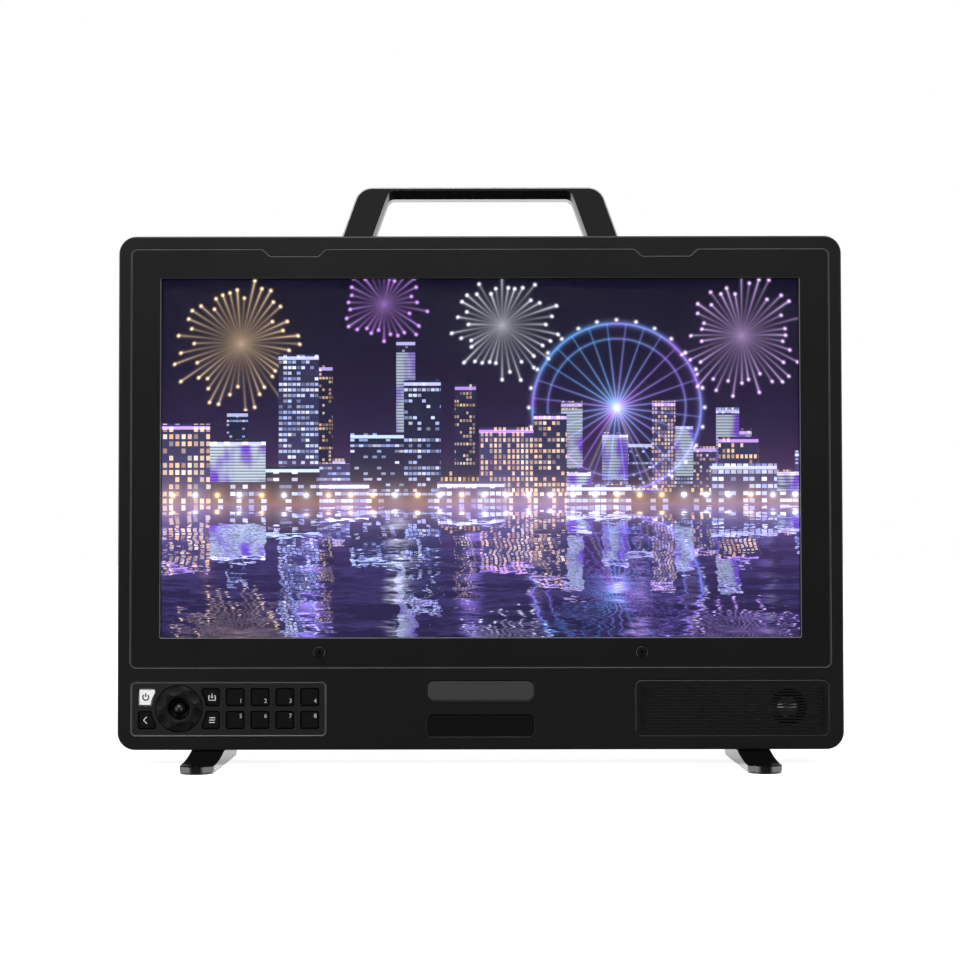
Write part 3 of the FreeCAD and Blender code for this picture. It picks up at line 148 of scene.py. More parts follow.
class Graph:
    """A node tree that is written as sums of fields."""

    # Where a mix node keeps the sockets for colours, among those for other kinds of value.
    MIX_SHARE, MIX_FIRST, MIX_SECOND, MIX_RESULT = 0, 6, 7, 2

    def __init__(self, tree: NodeTree) -> None:
        """Keep the tree that nodes are added to."""
        self.tree = tree

    def node(self, kind: str, **settings: object) -> Node:
        """Add a node.

        Args:
            kind: Blender's name of the node.
            settings: Properties of the node by name.
        Returns:
            The new node.
        """
        made = self.tree.nodes.new(kind)
        for name, value in settings.items():
            setattr(made, name, value)
        return made

    def feed(self, socket: NodeSocket, value: Union[Value, Colour]) -> None:
        """Link a field to an input, or set the input where the value is constant."""
        if isinstance(value, Field):
            self.tree.links.new(value.socket, socket)
        elif isinstance(value, tuple) and socket.type == "RGBA":
            socket.default_value = (*value, 1.0)
        else:
            socket.default_value = value

    def fill(self, node: Node, **values: Union[Value, Colour]) -> None:
        """Feed inputs of a node by name, with a low line for each space."""
        for name, value in values.items():
            self.feed(node.inputs[name.replace("_", " ")], value)

    def math(self, operation: str, *values: Value) -> Field:
        """Result of one of Blender's math operations."""
        node = self.node("ShaderNodeMath", operation=operation)
        for socket, value in zip(node.inputs, values):
            self.feed(socket, value)
        return Field(self, node.outputs[0])

    def mix(self, share: Value, first: Shade, second: Shade) -> Field:
        """Colour between two colours."""
        return self.blend("MIX", share, first, second)

    def blend(self, kind: str, share: Value, first: Shade, second: Shade) -> Field:
        """Colour from one of Blender's blend modes.

        Args:
            kind: Name of the blend mode.
            share: How much of the blend shows.
            first: Colour underneath.
            second: Colour laid over it.
        Returns:
            The blended colour.
        """
        node = self.node("ShaderNodeMix", data_type="RGBA", blend_type=kind, clamp_factor=False)
        self.feed(node.inputs[self.MIX_SHARE], share)
        self.feed(node.inputs[self.MIX_FIRST], first)
        self.feed(node.inputs[self.MIX_SECOND], second)
        return Field(self, node.outputs[self.MIX_RESULT])

    def tint(self, colour: Shade, level: Value) -> Field:
        """A colour times a level."""
        return self.mix(level, BLACK, colour)

    def add(self, first: Shade, second: Shade) -> Field:
        """Sum of two colours."""
        return self.blend("ADD", 1.0, first, second)

    def place(self, kind: str = "Object") -> Field:
        """Object coordinates, or another kind of texture coordinates."""
        return Field(self, self.node("ShaderNodeTexCoord").outputs[kind])

    def axes(self, kind: str = "Object") -> tuple[Field, Field, Field]:
        """The same along X, Y and Z."""
        return self.parts(self.place(kind))

    def parts(self, vector: Field) -> tuple[Field, Field, Field]:
        """The three parts of a vector or colour."""
        node = self.node("ShaderNodeSeparateXYZ")
        self.feed(node.inputs[0], vector)
        return tuple(Field(self, socket) for socket in node.outputs)

    def vector(self, x: Value, y: Value, z: Value) -> Field:
        """Vector of three values."""
        node = self.node("ShaderNodeCombineXYZ")
        for socket, value in zip(node.inputs, (x, y, z)):
            self.feed(socket, value)
        return Field(self, node.outputs[0])

    def noise(self, vector: Field, scale: Value, detail: float = 2.0) -> Field:
        """Cloudy noise about one half."""
        node = self.node("ShaderNodeTexNoise")
        self.fill(node, Vector=vector, Scale=scale, Detail=detail)
        return Field(self, node.outputs["Fac"])

    def dice(self, vector: Field) -> tuple[Field, Field, Field]:
        """Three random numbers for each point of a lattice."""
        node = self.node("ShaderNodeTexWhiteNoise", noise_dimensions="3D")
        self.fill(node, Vector=vector)
        return self.parts(Field(self, node.outputs["Color"]))

    def strips(self, along: Field, scale: Value) -> tuple[Field, Field, Field, Field]:
        """Three random numbers for each upright strip of uneven width, and the strip's middle."""
        node = self.node("ShaderNodeTexVoronoi", voronoi_dimensions="1D")
        self.fill(node, W=along, Scale=scale)
        return *self.parts(Field(self, node.outputs["Color"])), Field(self, node.outputs["W"])

    def use(self, group: NodeTree, **values: Value) -> dict[str, Field]:
        """Place a node group.

        Args:
            group: The group.
            values: Its inputs by name, with a low line for each space.
        Returns:
            Its outputs by name.
        """
        node = self.node("ShaderNodeGroup", node_tree=group)
        self.fill(node, **values)
        return {socket.name: Field(self, socket) for socket in node.outputs}


class Effect:
    """A shader node group with named inputs and outputs."""

    def __init__(self, name: str, inputs: dict[str, float], outputs: dict[str, str]) -> None:
        """Make the group and its sockets.

        Args:
            name: Name of the group.
            inputs: Usual value of each number that goes in.
            outputs: Blender's socket type of each result.
        """
        self.tree = bpy.data.node_groups.new(name, "ShaderNodeTree")
        self.graph = Graph(self.tree)
        for label, value in inputs.items():
            socket = self.tree.interface.new_socket(label, in_out="INPUT", socket_type="NodeSocketFloat")
            socket.default_value = value
        for label, kind in outputs.items():
            self.tree.interface.new_socket(label, in_out="OUTPUT", socket_type=kind)
        entry = self.graph.node("NodeGroupInput")
        self.inputs = {socket.name: Field(self.graph, socket) for socket in entry.outputs if socket.name}
        self.exit = self.graph.node("NodeGroupOutput")

    def put(self, label: str, value: Field) -> None:
        """Send a value out of the group."""
        self.graph.feed(self.exit.inputs[label], value)


def fine_grain_group() -> NodeTree:
    """Fine bumps of a moulded or blasted surface, with slow clouds of lighter and darker tone.

    Returns:
        A group with the inputs Size and Unevenness and the outputs Height and Tone.
    """
    inputs = {"Size": 0.0004, "Unevenness": 0.15}
    effect = Effect("fine_grain", inputs, {"Height": NUMBER, "Tone": NUMBER})
    graph = effect.graph
    place = graph.place()
    unevenness = effect.inputs["Unevenness"]
    bumps = graph.noise(place, scale=1.0 / effect.inputs["Size"])
    clouds = (graph.noise(place, scale=14.0, detail=4.0) - 0.5) * unevenness
    effect.put("Height", bumps)
    effect.put("Tone", 1.0 + clouds * 2.0 + (bumps - 0.5) * unevenness)
    return effect.tree


def edge_wear_group() -> NodeTree:
    """Mask of the cut edges of the front and back plates, where a face leans away from Y; finishes paint a
    highlight or shade there.

    Returns:
        A group with the input Patchiness and the output Mask.
    """
    effect = Effect("bevel_light_and_wear", {"Patchiness": 0.4}, {"Mask": NUMBER})
    graph = effect.graph
    facing = graph.axes("Normal")[1].size()
    lean = facing.eased(start=0.4, end=0.6) * (1.0 - facing.eased(start=0.8, end=0.95))
    patches = graph.noise(graph.place(), scale=160.0, detail=3.0)
    effect.put("Mask", lean * (1.0 - effect.inputs["Patchiness"] * patches))
    return effect.tree


def drawn_lines_group() -> NodeTree:
    """Fine level lines of rolled or brushed metal.

    Returns:
        A group with the inputs Width and Length and the outputs Height and Tone.
    """
    inputs = {"Width": 0.0002, "Length": 0.02}
    effect = Effect("drawn_lines", inputs, {"Height": NUMBER, "Tone": NUMBER})
    graph = effect.graph
    x, y, z = graph.axes()
    across = 1.0 / effect.inputs["Width"]
    stretched = graph.vector(x / effect.inputs["Length"], y * across, z * across)
    lines = graph.noise(stretched, scale=1.0, detail=3.0)
    effect.put("Height", lines)
    effect.put("Tone", 0.8 + lines * 0.4)
    return effect.tree


def blank_material(name: str) -> tuple[Material, Graph, Node]:
    """A new material, the graph of its nodes and its shader."""
    material = bpy.data.materials.new(name)
    material.use_nodes = True
    return material, Graph(material.node_tree), material.node_tree.nodes["Principled BSDF"]


@dataclass(frozen=True)
class Effects:
    """The shared node groups."""

    grain: NodeTree
    edges: NodeTree
    lines: NodeTree


@dataclass(frozen=True)
class Finish:
    """An opaque surface with its tone, gloss and grain, and a colour on its bevels: a pale one paints a
    highlight, a dark one paints shade. Sizes are in metres.
    """

    name: str
    colour: Colour
    roughness: float
    metallic: float = 0.0
    grain: float = 0.0004
    relief: float = 0.12
    unevenness: float = 0.1
    # Share and colour on the bevels: a pale colour is a painted highlight, a dark one is painted shade.
    wear: float = 0.0
    wear_colour: Colour = (0.3, 0.3, 0.305)
    coat: float = 0.0
    coat_roughness: float = 0.1
    specular: float = 0.5
    grazing: float = 1.0

    def pattern(self, graph: Graph) -> Shade:
        """Colour before tone and wear."""
        return self.colour

    def metal(self, graph: Graph) -> Value:
        """How metallic the surface is."""
        return self.metallic

    def texture(self, graph: Graph, effects: Effects) -> dict[str, Field]:
        """The surface's height and tone, from the group that suits it."""
        return graph.use(effects.grain, Size=self.grain, Unevenness=self.unevenness)

    def make(self, effects: Effects) -> Material:
        """Write the material.

        Args:
            effects: The shared node groups.
        Returns:
            The material.
        """
        material, graph, shader = blank_material(self.name)
        texture = self.texture(graph, effects)
        edge = self.edge(graph, effects)
        toned = graph.tint(self.pattern(graph), texture["Tone"])
        bump = graph.node("ShaderNodeBump")
        graph.fill(bump, Strength=self.relief, Distance=self.grain, Height=texture["Height"])
        # The bevels' painted highlight or painted shade is mixed into the base colour.
        graph.fill(
            shader, Base_Color=graph.mix(edge * self.wear, toned, self.wear_colour),
            Roughness=texture["Tone"] * self.roughness, Metallic=self.metal(graph),
            Coat_Weight=self.coat, Coat_Roughness=self.coat_roughness,
            Specular_IOR_Level=self.specular, Specular_Tint=(self.grazing, self.grazing, self.grazing),
            Normal=Field(graph, bump.outputs["Normal"]),
        )
        self.light(graph, shader)
        return material

    def edge(self, graph: Graph, effects: Effects) -> Field:
        """Where the bevels get their painted highlight or painted shade."""
        return graph.use(effects.edges)["Mask"]

    def light(self, graph: Graph, shader: Node) -> None:
        """Set what the surface gives off; a plain finish gives off nothing."""


@dataclass(frozen=True)
class Rim:
    """A stretch of the front where the cut edges get a painted highlight. Ends are in metres."""

    left: float
    right: float
    low: float
    high: float
    # Share of the painted highlight on these edges.
    bare: float


@dataclass(frozen=True)
class RimmedShell(Finish):
    """A shell with a painted highlight on its cut edges round some of the plates in its front."""

    depth: float = 0.0
    rims: tuple[Rim, ...] = ()

    def edge(self, graph: Graph, effects: Effects) -> Field:
        """Bevels of the front round a plate, where the highlight is painted."""
        x, y, z = graph.axes()
        # Share of painted highlight at each point of the front.
        shown = sum(
            x.between(rim.left, rim.right) * z.between(rim.low, rim.high) * rim.bare for rim in self.rims
        )
        return super().edge(graph, effects) * y.below(self.depth) * shown


@dataclass(frozen=True)
class OuterRims(Finish):
    """A bowed bar with a painted highlight on the bevels of its outer side. The middle of its bow is in
    metres.
    """

    middle_x: float = 0.0
    middle_z: float = 0.0

    def edge(self, graph: Graph, effects: Effects) -> Field:
        """Bevels that face away from the middle of the bow, where the highlight is painted."""
        x, _, z = graph.axes()
        lean_x, _, lean_z = graph.axes("Normal")
        outward = (x - self.middle_x) * lean_x + (z - self.middle_z) * lean_z
        return super().edge(graph, effects) * outward.above(0.0)


@dataclass(frozen=True)
class DrawnMetal(Finish):
    """Rolled or brushed metal with fine level lines."""

    line_length: float = 0.02

    def texture(self, graph: Graph, effects: Effects) -> dict[str, Field]:
        """Height and tone of the lines."""
        return graph.use(effects.lines, Width=self.grain, Length=self.line_length)


@dataclass(frozen=True)
class RoundMetal(Finish):
    """A finish that is bright metal inside a circle about a line along Y, and plain outside it."""

    centre_x: float = 0.0
    centre_z: float = 0.0
    radius: float = 0.006
    inside: Colour = (0.96, 0.96, 0.97)
    bare: float = 0.78

    def disc(self, graph: Graph) -> Field:
        """1 inside the circle, else 0."""
        x, _, z = graph.axes()
        away = (x - self.centre_x) ** 2.0 + (z - self.centre_z) ** 2.0
        return away.below(self.radius ** 2)

    def pattern(self, graph: Graph) -> Field:
        """The bright colour inside the circle."""
        return graph.mix(self.disc(graph), self.colour, self.inside)

    def metal(self, graph: Graph) -> Field:
        """Metal inside the circle only, as far as its lacquer lets it show."""
        return self.disc(graph) * self.bare


@dataclass(frozen=True)
class CircuitBoard(Finish):
    """Solder mask over square-routed tracks, with rows of bright pads. Patches are in pitches."""

    track: Colour = (0.012, 0.075, 0.035)
    pad: Colour = (0.5, 0.4, 0.18)
    pitch: float = 0.0025
    patch_w: float = 6.0
    patch_h: float = 4.0
    track_half: float = 0.2
    pad_r_squared: float = 0.06
    plain_share: float = 0.7

    def pattern(self, graph: Graph) -> Field:
        """Tracks that follow one direction in each patch of the board, and pads in some patches."""
        x, _, z = graph.axes()
        column = (x / self.pitch / self.patch_w).floor()
        row = (z / self.pitch / self.patch_h).floor()
        turn, padded, _ = graph.dice(graph.vector(column, row, 0.0))
        level = turn.above(0.5)
        along = (x * (1.0 - level) + z * level) / self.pitch
        lines = (along.fract() - 0.5).size().below(self.track_half)
        dots = ((x / self.pitch).fract() - 0.5) ** 2.0 + ((z / self.pitch).fract() - 0.5) ** 2.0
        pads = dots.below(self.pad_r_squared) * padded.above(self.plain_share)
        return graph.mix(pads, graph.mix(lines, self.colour, self.track), self.pad)


@dataclass(frozen=True)
class Felt(Finish):
    """Pressed fibres of dust felt or foam."""

    fleck: Colour = (0.03, 0.03, 0.032)

    def pattern(self, graph: Graph) -> Field:
        """Paler fibres over the ground."""
        fibres = graph.noise(graph.place(), scale=1.0 / self.grain, detail=4.0)
        return graph.mix(fibres.eased(start=0.5, end=0.7), self.colour, self.fleck)


@dataclass(frozen=True)
class ClearGlass:
    """Clear coated sheet with faint wiping marks in its gloss. Sizes are in metres."""

    name: str
    index: float = 1.12
    mark_size: float = 0.004
    mark_depth: float = 0.02
    mark_roughness: float = 0.1

    def make(self, effects: Effects) -> Material:
        """Write the material.

        Args:
            effects: The shared node groups.
        Returns:
            The material.
        """
        material, graph, shader = blank_material(self.name)
        texture = graph.use(effects.grain, Size=self.mark_size, Unevenness=self.mark_depth)
        marks = (texture["Tone"] - (1.0 - self.mark_depth)).least(0.0)
        graph.fill(
            shader, Base_Color=WHITE, Transmission_Weight=1.0, IOR=self.index,
            Roughness=marks * self.mark_roughness,
        )
        return material


class Night:
    """Colours of the picture on the display."""

    SKY: Colour = (0.0015, 0.002, 0.008)
    HORIZON: Colour = (0.05, 0.03, 0.13)
    DUSK: Colour = (0.2, 0.09, 0.1)
    HAZE: Colour = (0.03, 0.022, 0.085)
    WALL_DARK: Colour = (0.008, 0.01, 0.028)
    WALL_PALE: Colour = (0.05, 0.045, 0.13)
    STREET: Colour = (0.34, 0.17, 0.08)
    AMBER: Colour = (1.0, 0.52, 0.16)
    CREAM: Colour = (1.0, 0.84, 0.58)
    AZURE: Colour = (0.3, 0.45, 1.0)
    ICE: Colour = (0.86, 0.9, 1.0)
    CROWN_VIOLET: Colour = (0.6, 0.25, 1.0)
    CROWN_BLUE: Colour = (0.6, 0.8, 1.0)
    SHOW_BLUE: Colour = (0.3, 0.12, 0.95)
    SHOW_WHITE: Colour = (0.72, 0.84, 1.0)
    WHEEL_VIOLET: Colour = (0.5, 0.16, 1.0)
    WHEEL_BLUE: Colour = (0.16, 0.42, 1.0)
    WHEEL_WHITE: Colour = (0.95, 0.9, 1.0)
    LAMP_WARM: Colour = (1.0, 0.66, 0.3)
    LAMP_COOL: Colour = (0.85, 0.86, 1.0)
    SEA: Colour = (0.03, 0.024, 0.09)
    SEA_TINT: Colour = (0.78, 0.78, 1.0)
    GLINT_WARM: Colour = (1.0, 0.62, 0.3)
    GLINT_BLUE: Colour = (0.36, 0.24, 1.0)
    GLINT_WHITE: Colour = (0.82, 0.84, 1.0)


def tower_row_group() -> NodeTree:
    """A row of towers at night with lit windows. Lengths are in heights of the picture.

    Returns:
        A group that gives the towers' Mask and their Light at a point (Across, Up).
    """
    inputs = {
        "Across": 0.0, "Up": 0.0, "Strips": 6.0, "Low": 0.05, "High": 0.4, "Peak": 0.8, "Spread": 0.5,
        "Flank": 0.4, "Columns": 50.0, "Floors": 40.0, "Lit": 0.4, "Seed": 0.0,
    }
    effect = Effect("tower_row", inputs, {"Mask": NUMBER, "Light": COLOUR})
    graph = effect.graph
    given = effect.inputs
    across, up, seed = given["Across"], given["Up"], given["Seed"]
    rank, kind, tone, middle = graph.strips(across + seed, given["Strips"])
    off = (middle - seed - given["Peak"]) / given["Spread"]
    reach = given["Flank"] + (off * off).fade(rate=1.0) * (1.0 - given["Flank"])
    height = (given["Low"] + (given["High"] - given["Low"]) * rank ** 1.5) * reach
    column = across * given["Columns"]
    storey = up * given["Floors"]
    pane = (column.fract() - 0.5).size().below(0.28 + 0.2 * kind)
    pane = pane * (storey.fract() - 0.5).size().below(0.36 - 0.14 * kind)
    chance, hue, level = graph.dice(graph.vector(column.floor(), storey.floor(), seed))
    busy = graph.dice(graph.vector(rank * 91.0, storey.floor(), seed + 5.0))[0].below(0.16)
    lit = chance.below(given["Lit"] * (0.4 + 1.1 * tone)).least(busy) * pane
    warm = graph.mix(hue, Night.AMBER, Night.CREAM)
    cool = graph.mix(hue, Night.AZURE, Night.ICE)
    windows = graph.tint(graph.mix(kind.above(0.5), warm, cool), lit * (0.25 + 1.1 * level))
    wall = graph.mix(tone, Night.WALL_DARK, Night.WALL_PALE)
    wall = graph.tint(wall, 0.7 + 2.0 * up.fade(rate=5.0))
    wall = graph.add(wall, graph.tint(Night.STREET, up.fade(rate=26.0)))
    crown = up.between(height - 0.016, height - 0.007) * rank.above(0.3)
    glow = graph.mix(kind, Night.CROWN_VIOLET, Night.CROWN_BLUE)
    share = up / height
    screen = share.between(0.35, 0.92) * kind.between(0.38, 0.62)
    drift = graph.noise(graph.vector(across * 16.0, up * 7.0, seed), scale=1.0)
    show = graph.mix(drift.eased(start=0.4, end=0.58), Night.SHOW_BLUE, Night.SHOW_WHITE)
    scan = 0.35 + 0.65 * (up * 120.0).fract().above(0.4)
    facade = graph.mix(screen, graph.add(wall, windows), graph.tint(show, scan * 0.9))
    facade = graph.add(facade, graph.tint(glow, crown * 1.2))
    effect.put("Mask", up.below(height))
    effect.put("Light", facade)
    return effect.tree


def burst_group() -> NodeTree:
    """A firework that has just opened. Lengths are in heights of the picture.

    Returns:
        A group that gives the Light of the trails and sparks at a point (Across, Up) from the middle.
    """
    inputs = {"Across": 0.0, "Up": 0.0, "Radius": 0.2, "Rays": 36.0, "Seed": 0.0}
    effect = Effect("burst", inputs, {"Light": NUMBER})
    graph = effect.graph
    across, radius, rays = effect.inputs["Across"], effect.inputs["Radius"], effect.inputs["Rays"]
    up = effect.inputs["Up"] + across * across * 0.5
    length = graph.math("SQRT", across * across + up * up)
    away = length / radius
    turn = graph.math("ARCTAN2", up, across) * rays / (2 * math.pi)
    reach, level, _ = graph.dice(graph.vector(turn.floor(), effect.inputs["Seed"], 0.0))
    off = (turn.fract() - 0.5).size() * length * (2 * math.pi) / rays
    tip = 0.55 + 0.45 * reach
    trail = off.fade(rate=520.0) * (away / tip) ** 1.5 * away.below(tip) * (0.3 + 0.7 * level)
    gap = (away - tip) * radius
    spark = (off * off + gap * gap).fade(rate=60000.0) * 1.6
    effect.put("Light", trail + spark + away.fade(rate=7.0) * 0.5)
    return effect.tree


@dataclass(frozen=True)
class Burst:
    """One firework over the harbour. Lengths are in heights of the picture."""

    across: float
    rise: float
    radius: float
    rays: float
    colour: Colour


@dataclass(frozen=True)
class Towers:
    """One row of towers in the picture, with a bell-shaped skyline. Lengths are in heights of the picture."""

    strips: float
    low: float
    high: float
    columns: float
    floors: float
    lit: float
    seed: float
    peak: float
    spread: float
    flank: float
    haze: float


@dataclass(frozen=True)
class HarbourPicture(Finish):
    """A lit display: a made-up harbour at night with fireworks, towers, a big wheel and their reflections.

    The display's own edges are in metres, and lengths in the picture are in heights of it.
    """

    left: float = 0.0
    bottom: float = 0.0
    picture_w: float = 0.38
    picture_h: float = 0.21
    waterline: float = 0.37
    wheel_x: float = 1.27
    wheel_y: float = 0.27
    wheel_r: float = 0.235
    wheel_spokes: int = 28
    wheel_ring: float = 0.82
    wheel_cabins: float = 1.045
    wheel_leg_slope: float = 0.45
    lamp_pitch: float = 0.062
    lamp_rise: float = 0.026
    rows: tuple[Towers, ...] = (
        Towers(17.0, 0.06, 0.5, 112.0, 92.0, 0.5, 3.0, 0.7, 0.6, 0.5, 0.3),
        Towers(9.0, 0.1, 0.58, 80.0, 64.0, 0.55, 11.0, 0.5, 0.4, 0.4, 0.1),
        Towers(5.5, 0.06, 0.3, 58.0, 50.0, 0.6, 17.0, 0.1, 0.3, 0.5, 0.0),
    )
    bursts: tuple[Burst, ...] = (
        Burst(0.22, 0.45, 0.2, 44.0, (1.0, 0.72, 0.42)),
        Burst(0.95, 0.5, 0.17, 38.0, (0.85, 0.88, 1.0)),
        Burst(0.62, 0.56, 0.13, 30.0, (0.62, 0.3, 1.0)),
        Burst(1.62, 0.47, 0.19, 42.0, (0.75, 0.5, 1.0)),
    )

    def light(self, graph: Graph, shader: Node) -> None:
        """Send the picture out as light, within the display's edges."""
        x, _, z = graph.axes()
        across = (x - self.left) / self.picture_h
        up = (z - self.bottom) / self.picture_h
        inside = across.between(0.0, self.picture_w / self.picture_h) * up.between(0.0, 1.0)
        shown = graph.tint(self.picture(graph, across, up), inside)
        graph.fill(shader, Emission_Color=shown, Emission_Strength=1.0)

    def picture(self, graph: Graph, across: Field, up: Field) -> Field:
        """Colour of the picture.

        Args:
            graph: Graph that the nodes go into.
            across: Distance from the left edge, in heights of the picture.
            up: Distance from the lower edge, likewise.
        Returns:
            The colour.
        """
        sink = (self.waterline - up).least(0.0)
        water = up.below(self.waterline)
        swell = graph.noise(graph.vector(across * 4.0, up * 46.0, 0.0), scale=1.0) - 0.5
        chop = graph.noise(graph.vector(across * 26.0, up * 190.0, 2.0), scale=1.0) - 0.5
        ripple = swell + chop * 0.7
        rise = (up - self.waterline) * (1.0 - water)
        rise = rise + water * (sink * 1.15 + ripple * (0.03 + sink * 0.5)).size()
        shifted = across + water * swell * sink * 0.25
        land = self.land(graph, shifted, rise)
        mirrored = graph.blend("MULTIPLY", 1.0, graph.tint(land, 1.1 - sink * 0.6), Night.SEA_TINT)
        sea = graph.add(mirrored, self.shimmer(graph, across + swell * sink * 0.3, up, sink, ripple))
        return graph.mix(water, land, sea)

    def land(self, graph: Graph, across: Field, rise: Field) -> Field:
        """Sky, towers, wheel and quay at a height above the water."""
        colour = graph.mix(rise.fade(rate=4.0), Night.SKY, Night.HORIZON)
        colour = graph.add(colour, graph.tint(Night.DUSK, rise.fade(rate=16.0)))
        bloom = burst_group()
        for number, burst in enumerate(self.bursts):
            lit = graph.use(
                bloom, Across=across - burst.across, Up=rise - burst.rise, Radius=burst.radius,
                Rays=burst.rays, Seed=float(number),
            )
            colour = graph.add(colour, graph.tint(burst.colour, lit["Light"]))
        group = tower_row_group()
        for number, row in enumerate(self.rows):
            towers = graph.use(
                group, Across=across, Up=rise, Strips=row.strips, Low=row.low, High=row.high, Peak=row.peak,
                Spread=row.spread, Flank=row.flank, Columns=row.columns, Floors=row.floors, Lit=row.lit,
                Seed=row.seed,
            )
            veiled = graph.mix(row.haze, towers["Light"], Night.HAZE)
            colour = graph.mix(towers["Mask"], colour, veiled)
            if number == 0:
                colour = graph.add(colour, self.wheel(graph, across, rise))
        return graph.add(colour, self.lamps(graph, across, rise))

    def wheel(self, graph: Graph, across: Field, rise: Field) -> Field:
        """A big wheel of lights on two legs."""
        x = across - self.wheel_x
        y = rise - self.wheel_y
        away = graph.math("SQRT", x * x + y * y)
        turn = graph.math("ARCTAN2", y, x) * (self.wheel_spokes / (2 * math.pi))
        step = 2 * math.pi / self.wheel_spokes
        rim = (away - self.wheel_r).size().fade(rate=260.0)
        ring = (away - self.wheel_r * self.wheel_ring).size().fade(rate=420.0) * 0.55
        spoke = ((turn.fract() - 0.5).size() * away * step).fade(rate=620.0)
        spoke = spoke * away.below(self.wheel_r) * (0.25 + away.fade(rate=9.0))
        off = ((turn + 0.5).fract() - 0.5) * (step * self.wheel_r)
        gap = away - self.wheel_r * self.wheel_cabins
        cabin = (off * off + gap * gap).fade(rate=52000.0) * 1.3
        leg = (x.size() + y * self.wheel_leg_slope).size().fade(rate=420.0) * y.below(0.0) * 0.5
        hub = away.fade(rate=60.0)
        hue = graph.noise(graph.vector(turn * 0.16, 0.0, 0.0), scale=1.0)
        paint = graph.mix(hue.eased(start=0.35, end=0.6), Night.WHEEL_VIOLET, Night.WHEEL_BLUE)
        glow = graph.tint(paint, rim + ring + spoke + hub)
        return graph.add(glow, graph.tint(Night.WHEEL_WHITE, cabin + leg * 0.4 + hub * 0.7))

    def lamps(self, graph: Graph, across: Field, rise: Field) -> Field:
        """A row of lamps along the quay."""
        cell = across / self.lamp_pitch
        off = (cell.fract() - 0.5) * self.lamp_pitch
        lift = rise - self.lamp_rise
        core = (off * off + lift * lift).fade(rate=26000.0) * 1.8
        halo = graph.math("SQRT", off * off + lift * lift).fade(rate=70.0) * 0.35
        kind = graph.dice(graph.vector(cell.floor(), 0.0, 4.0))[0]
        paint = graph.mix(kind.above(0.6), Night.LAMP_WARM, Night.LAMP_COOL)
        return graph.tint(paint, core + halo)

    def shimmer(self, graph: Graph, across: Field, up: Field, sink: Field, ripple: Field) -> Field:
        """Broad columns of broken light on the water.

        Args:
            graph: Graph that the nodes go into.
            across: Distance from the left edge, moved by the swell.
            up: Distance from the lower edge.
            sink: Distance below the waterline.
            ripple: Height of the water.
        Returns:
            The light's colour.
        """
        column = graph.noise(graph.vector(across * 5.5, up * 0.5, 7.0), scale=1.0, detail=1.0)
        glint = ripple.eased(start=-0.12, end=0.22)
        hue = graph.noise(graph.vector(across * 2.4, 0.0, 13.0), scale=1.0, detail=1.0)
        paint = graph.mix(hue.eased(start=0.4, end=0.5), Night.GLINT_WARM, Night.GLINT_BLUE)
        paint = graph.mix(hue.eased(start=0.52, end=0.6), paint, Night.GLINT_WHITE)
        base = graph.tint(Night.SEA, 0.35 + glint)
        level = column.eased(start=0.5, end=0.72) * glint * (sink * 3.0).eased(start=0.0, end=0.25) * 1.2
        return graph.add(base, graph.tint(paint, level))


class PaintShop:
    """Makes each finish once and puts it on CAD nodes and new pieces."""

    def __init__(self) -> None:
        """Make the shared effects."""
        self.effects = Effects(fine_grain_group(), edge_wear_group(), drawn_lines_group())
        self.made: dict[str, Material] = {}

    def material(self, finish: "Finish | ClearGlass") -> Material:
        """Material of a finish."""
        if finish.name not in self.made:
            self.made[finish.name] = finish.make(self.effects)
        return self.made[finish.name]

    def coat(self, finish: "Finish | ClearGlass", *nodes: str) -> None:
        """Put a finish on CAD nodes."""
        for name in nodes:
            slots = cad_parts[name].data.materials
            slots.clear()
            slots.append(self.material(finish))
            LOG.info("%s is finished in %s", name, finish.name)

    def paint(self, piece: Object, finish: Finish) -> None:
        """Put a finish on a new piece."""
        piece.data.materials.clear()
        piece.data.materials.append(self.material(finish))


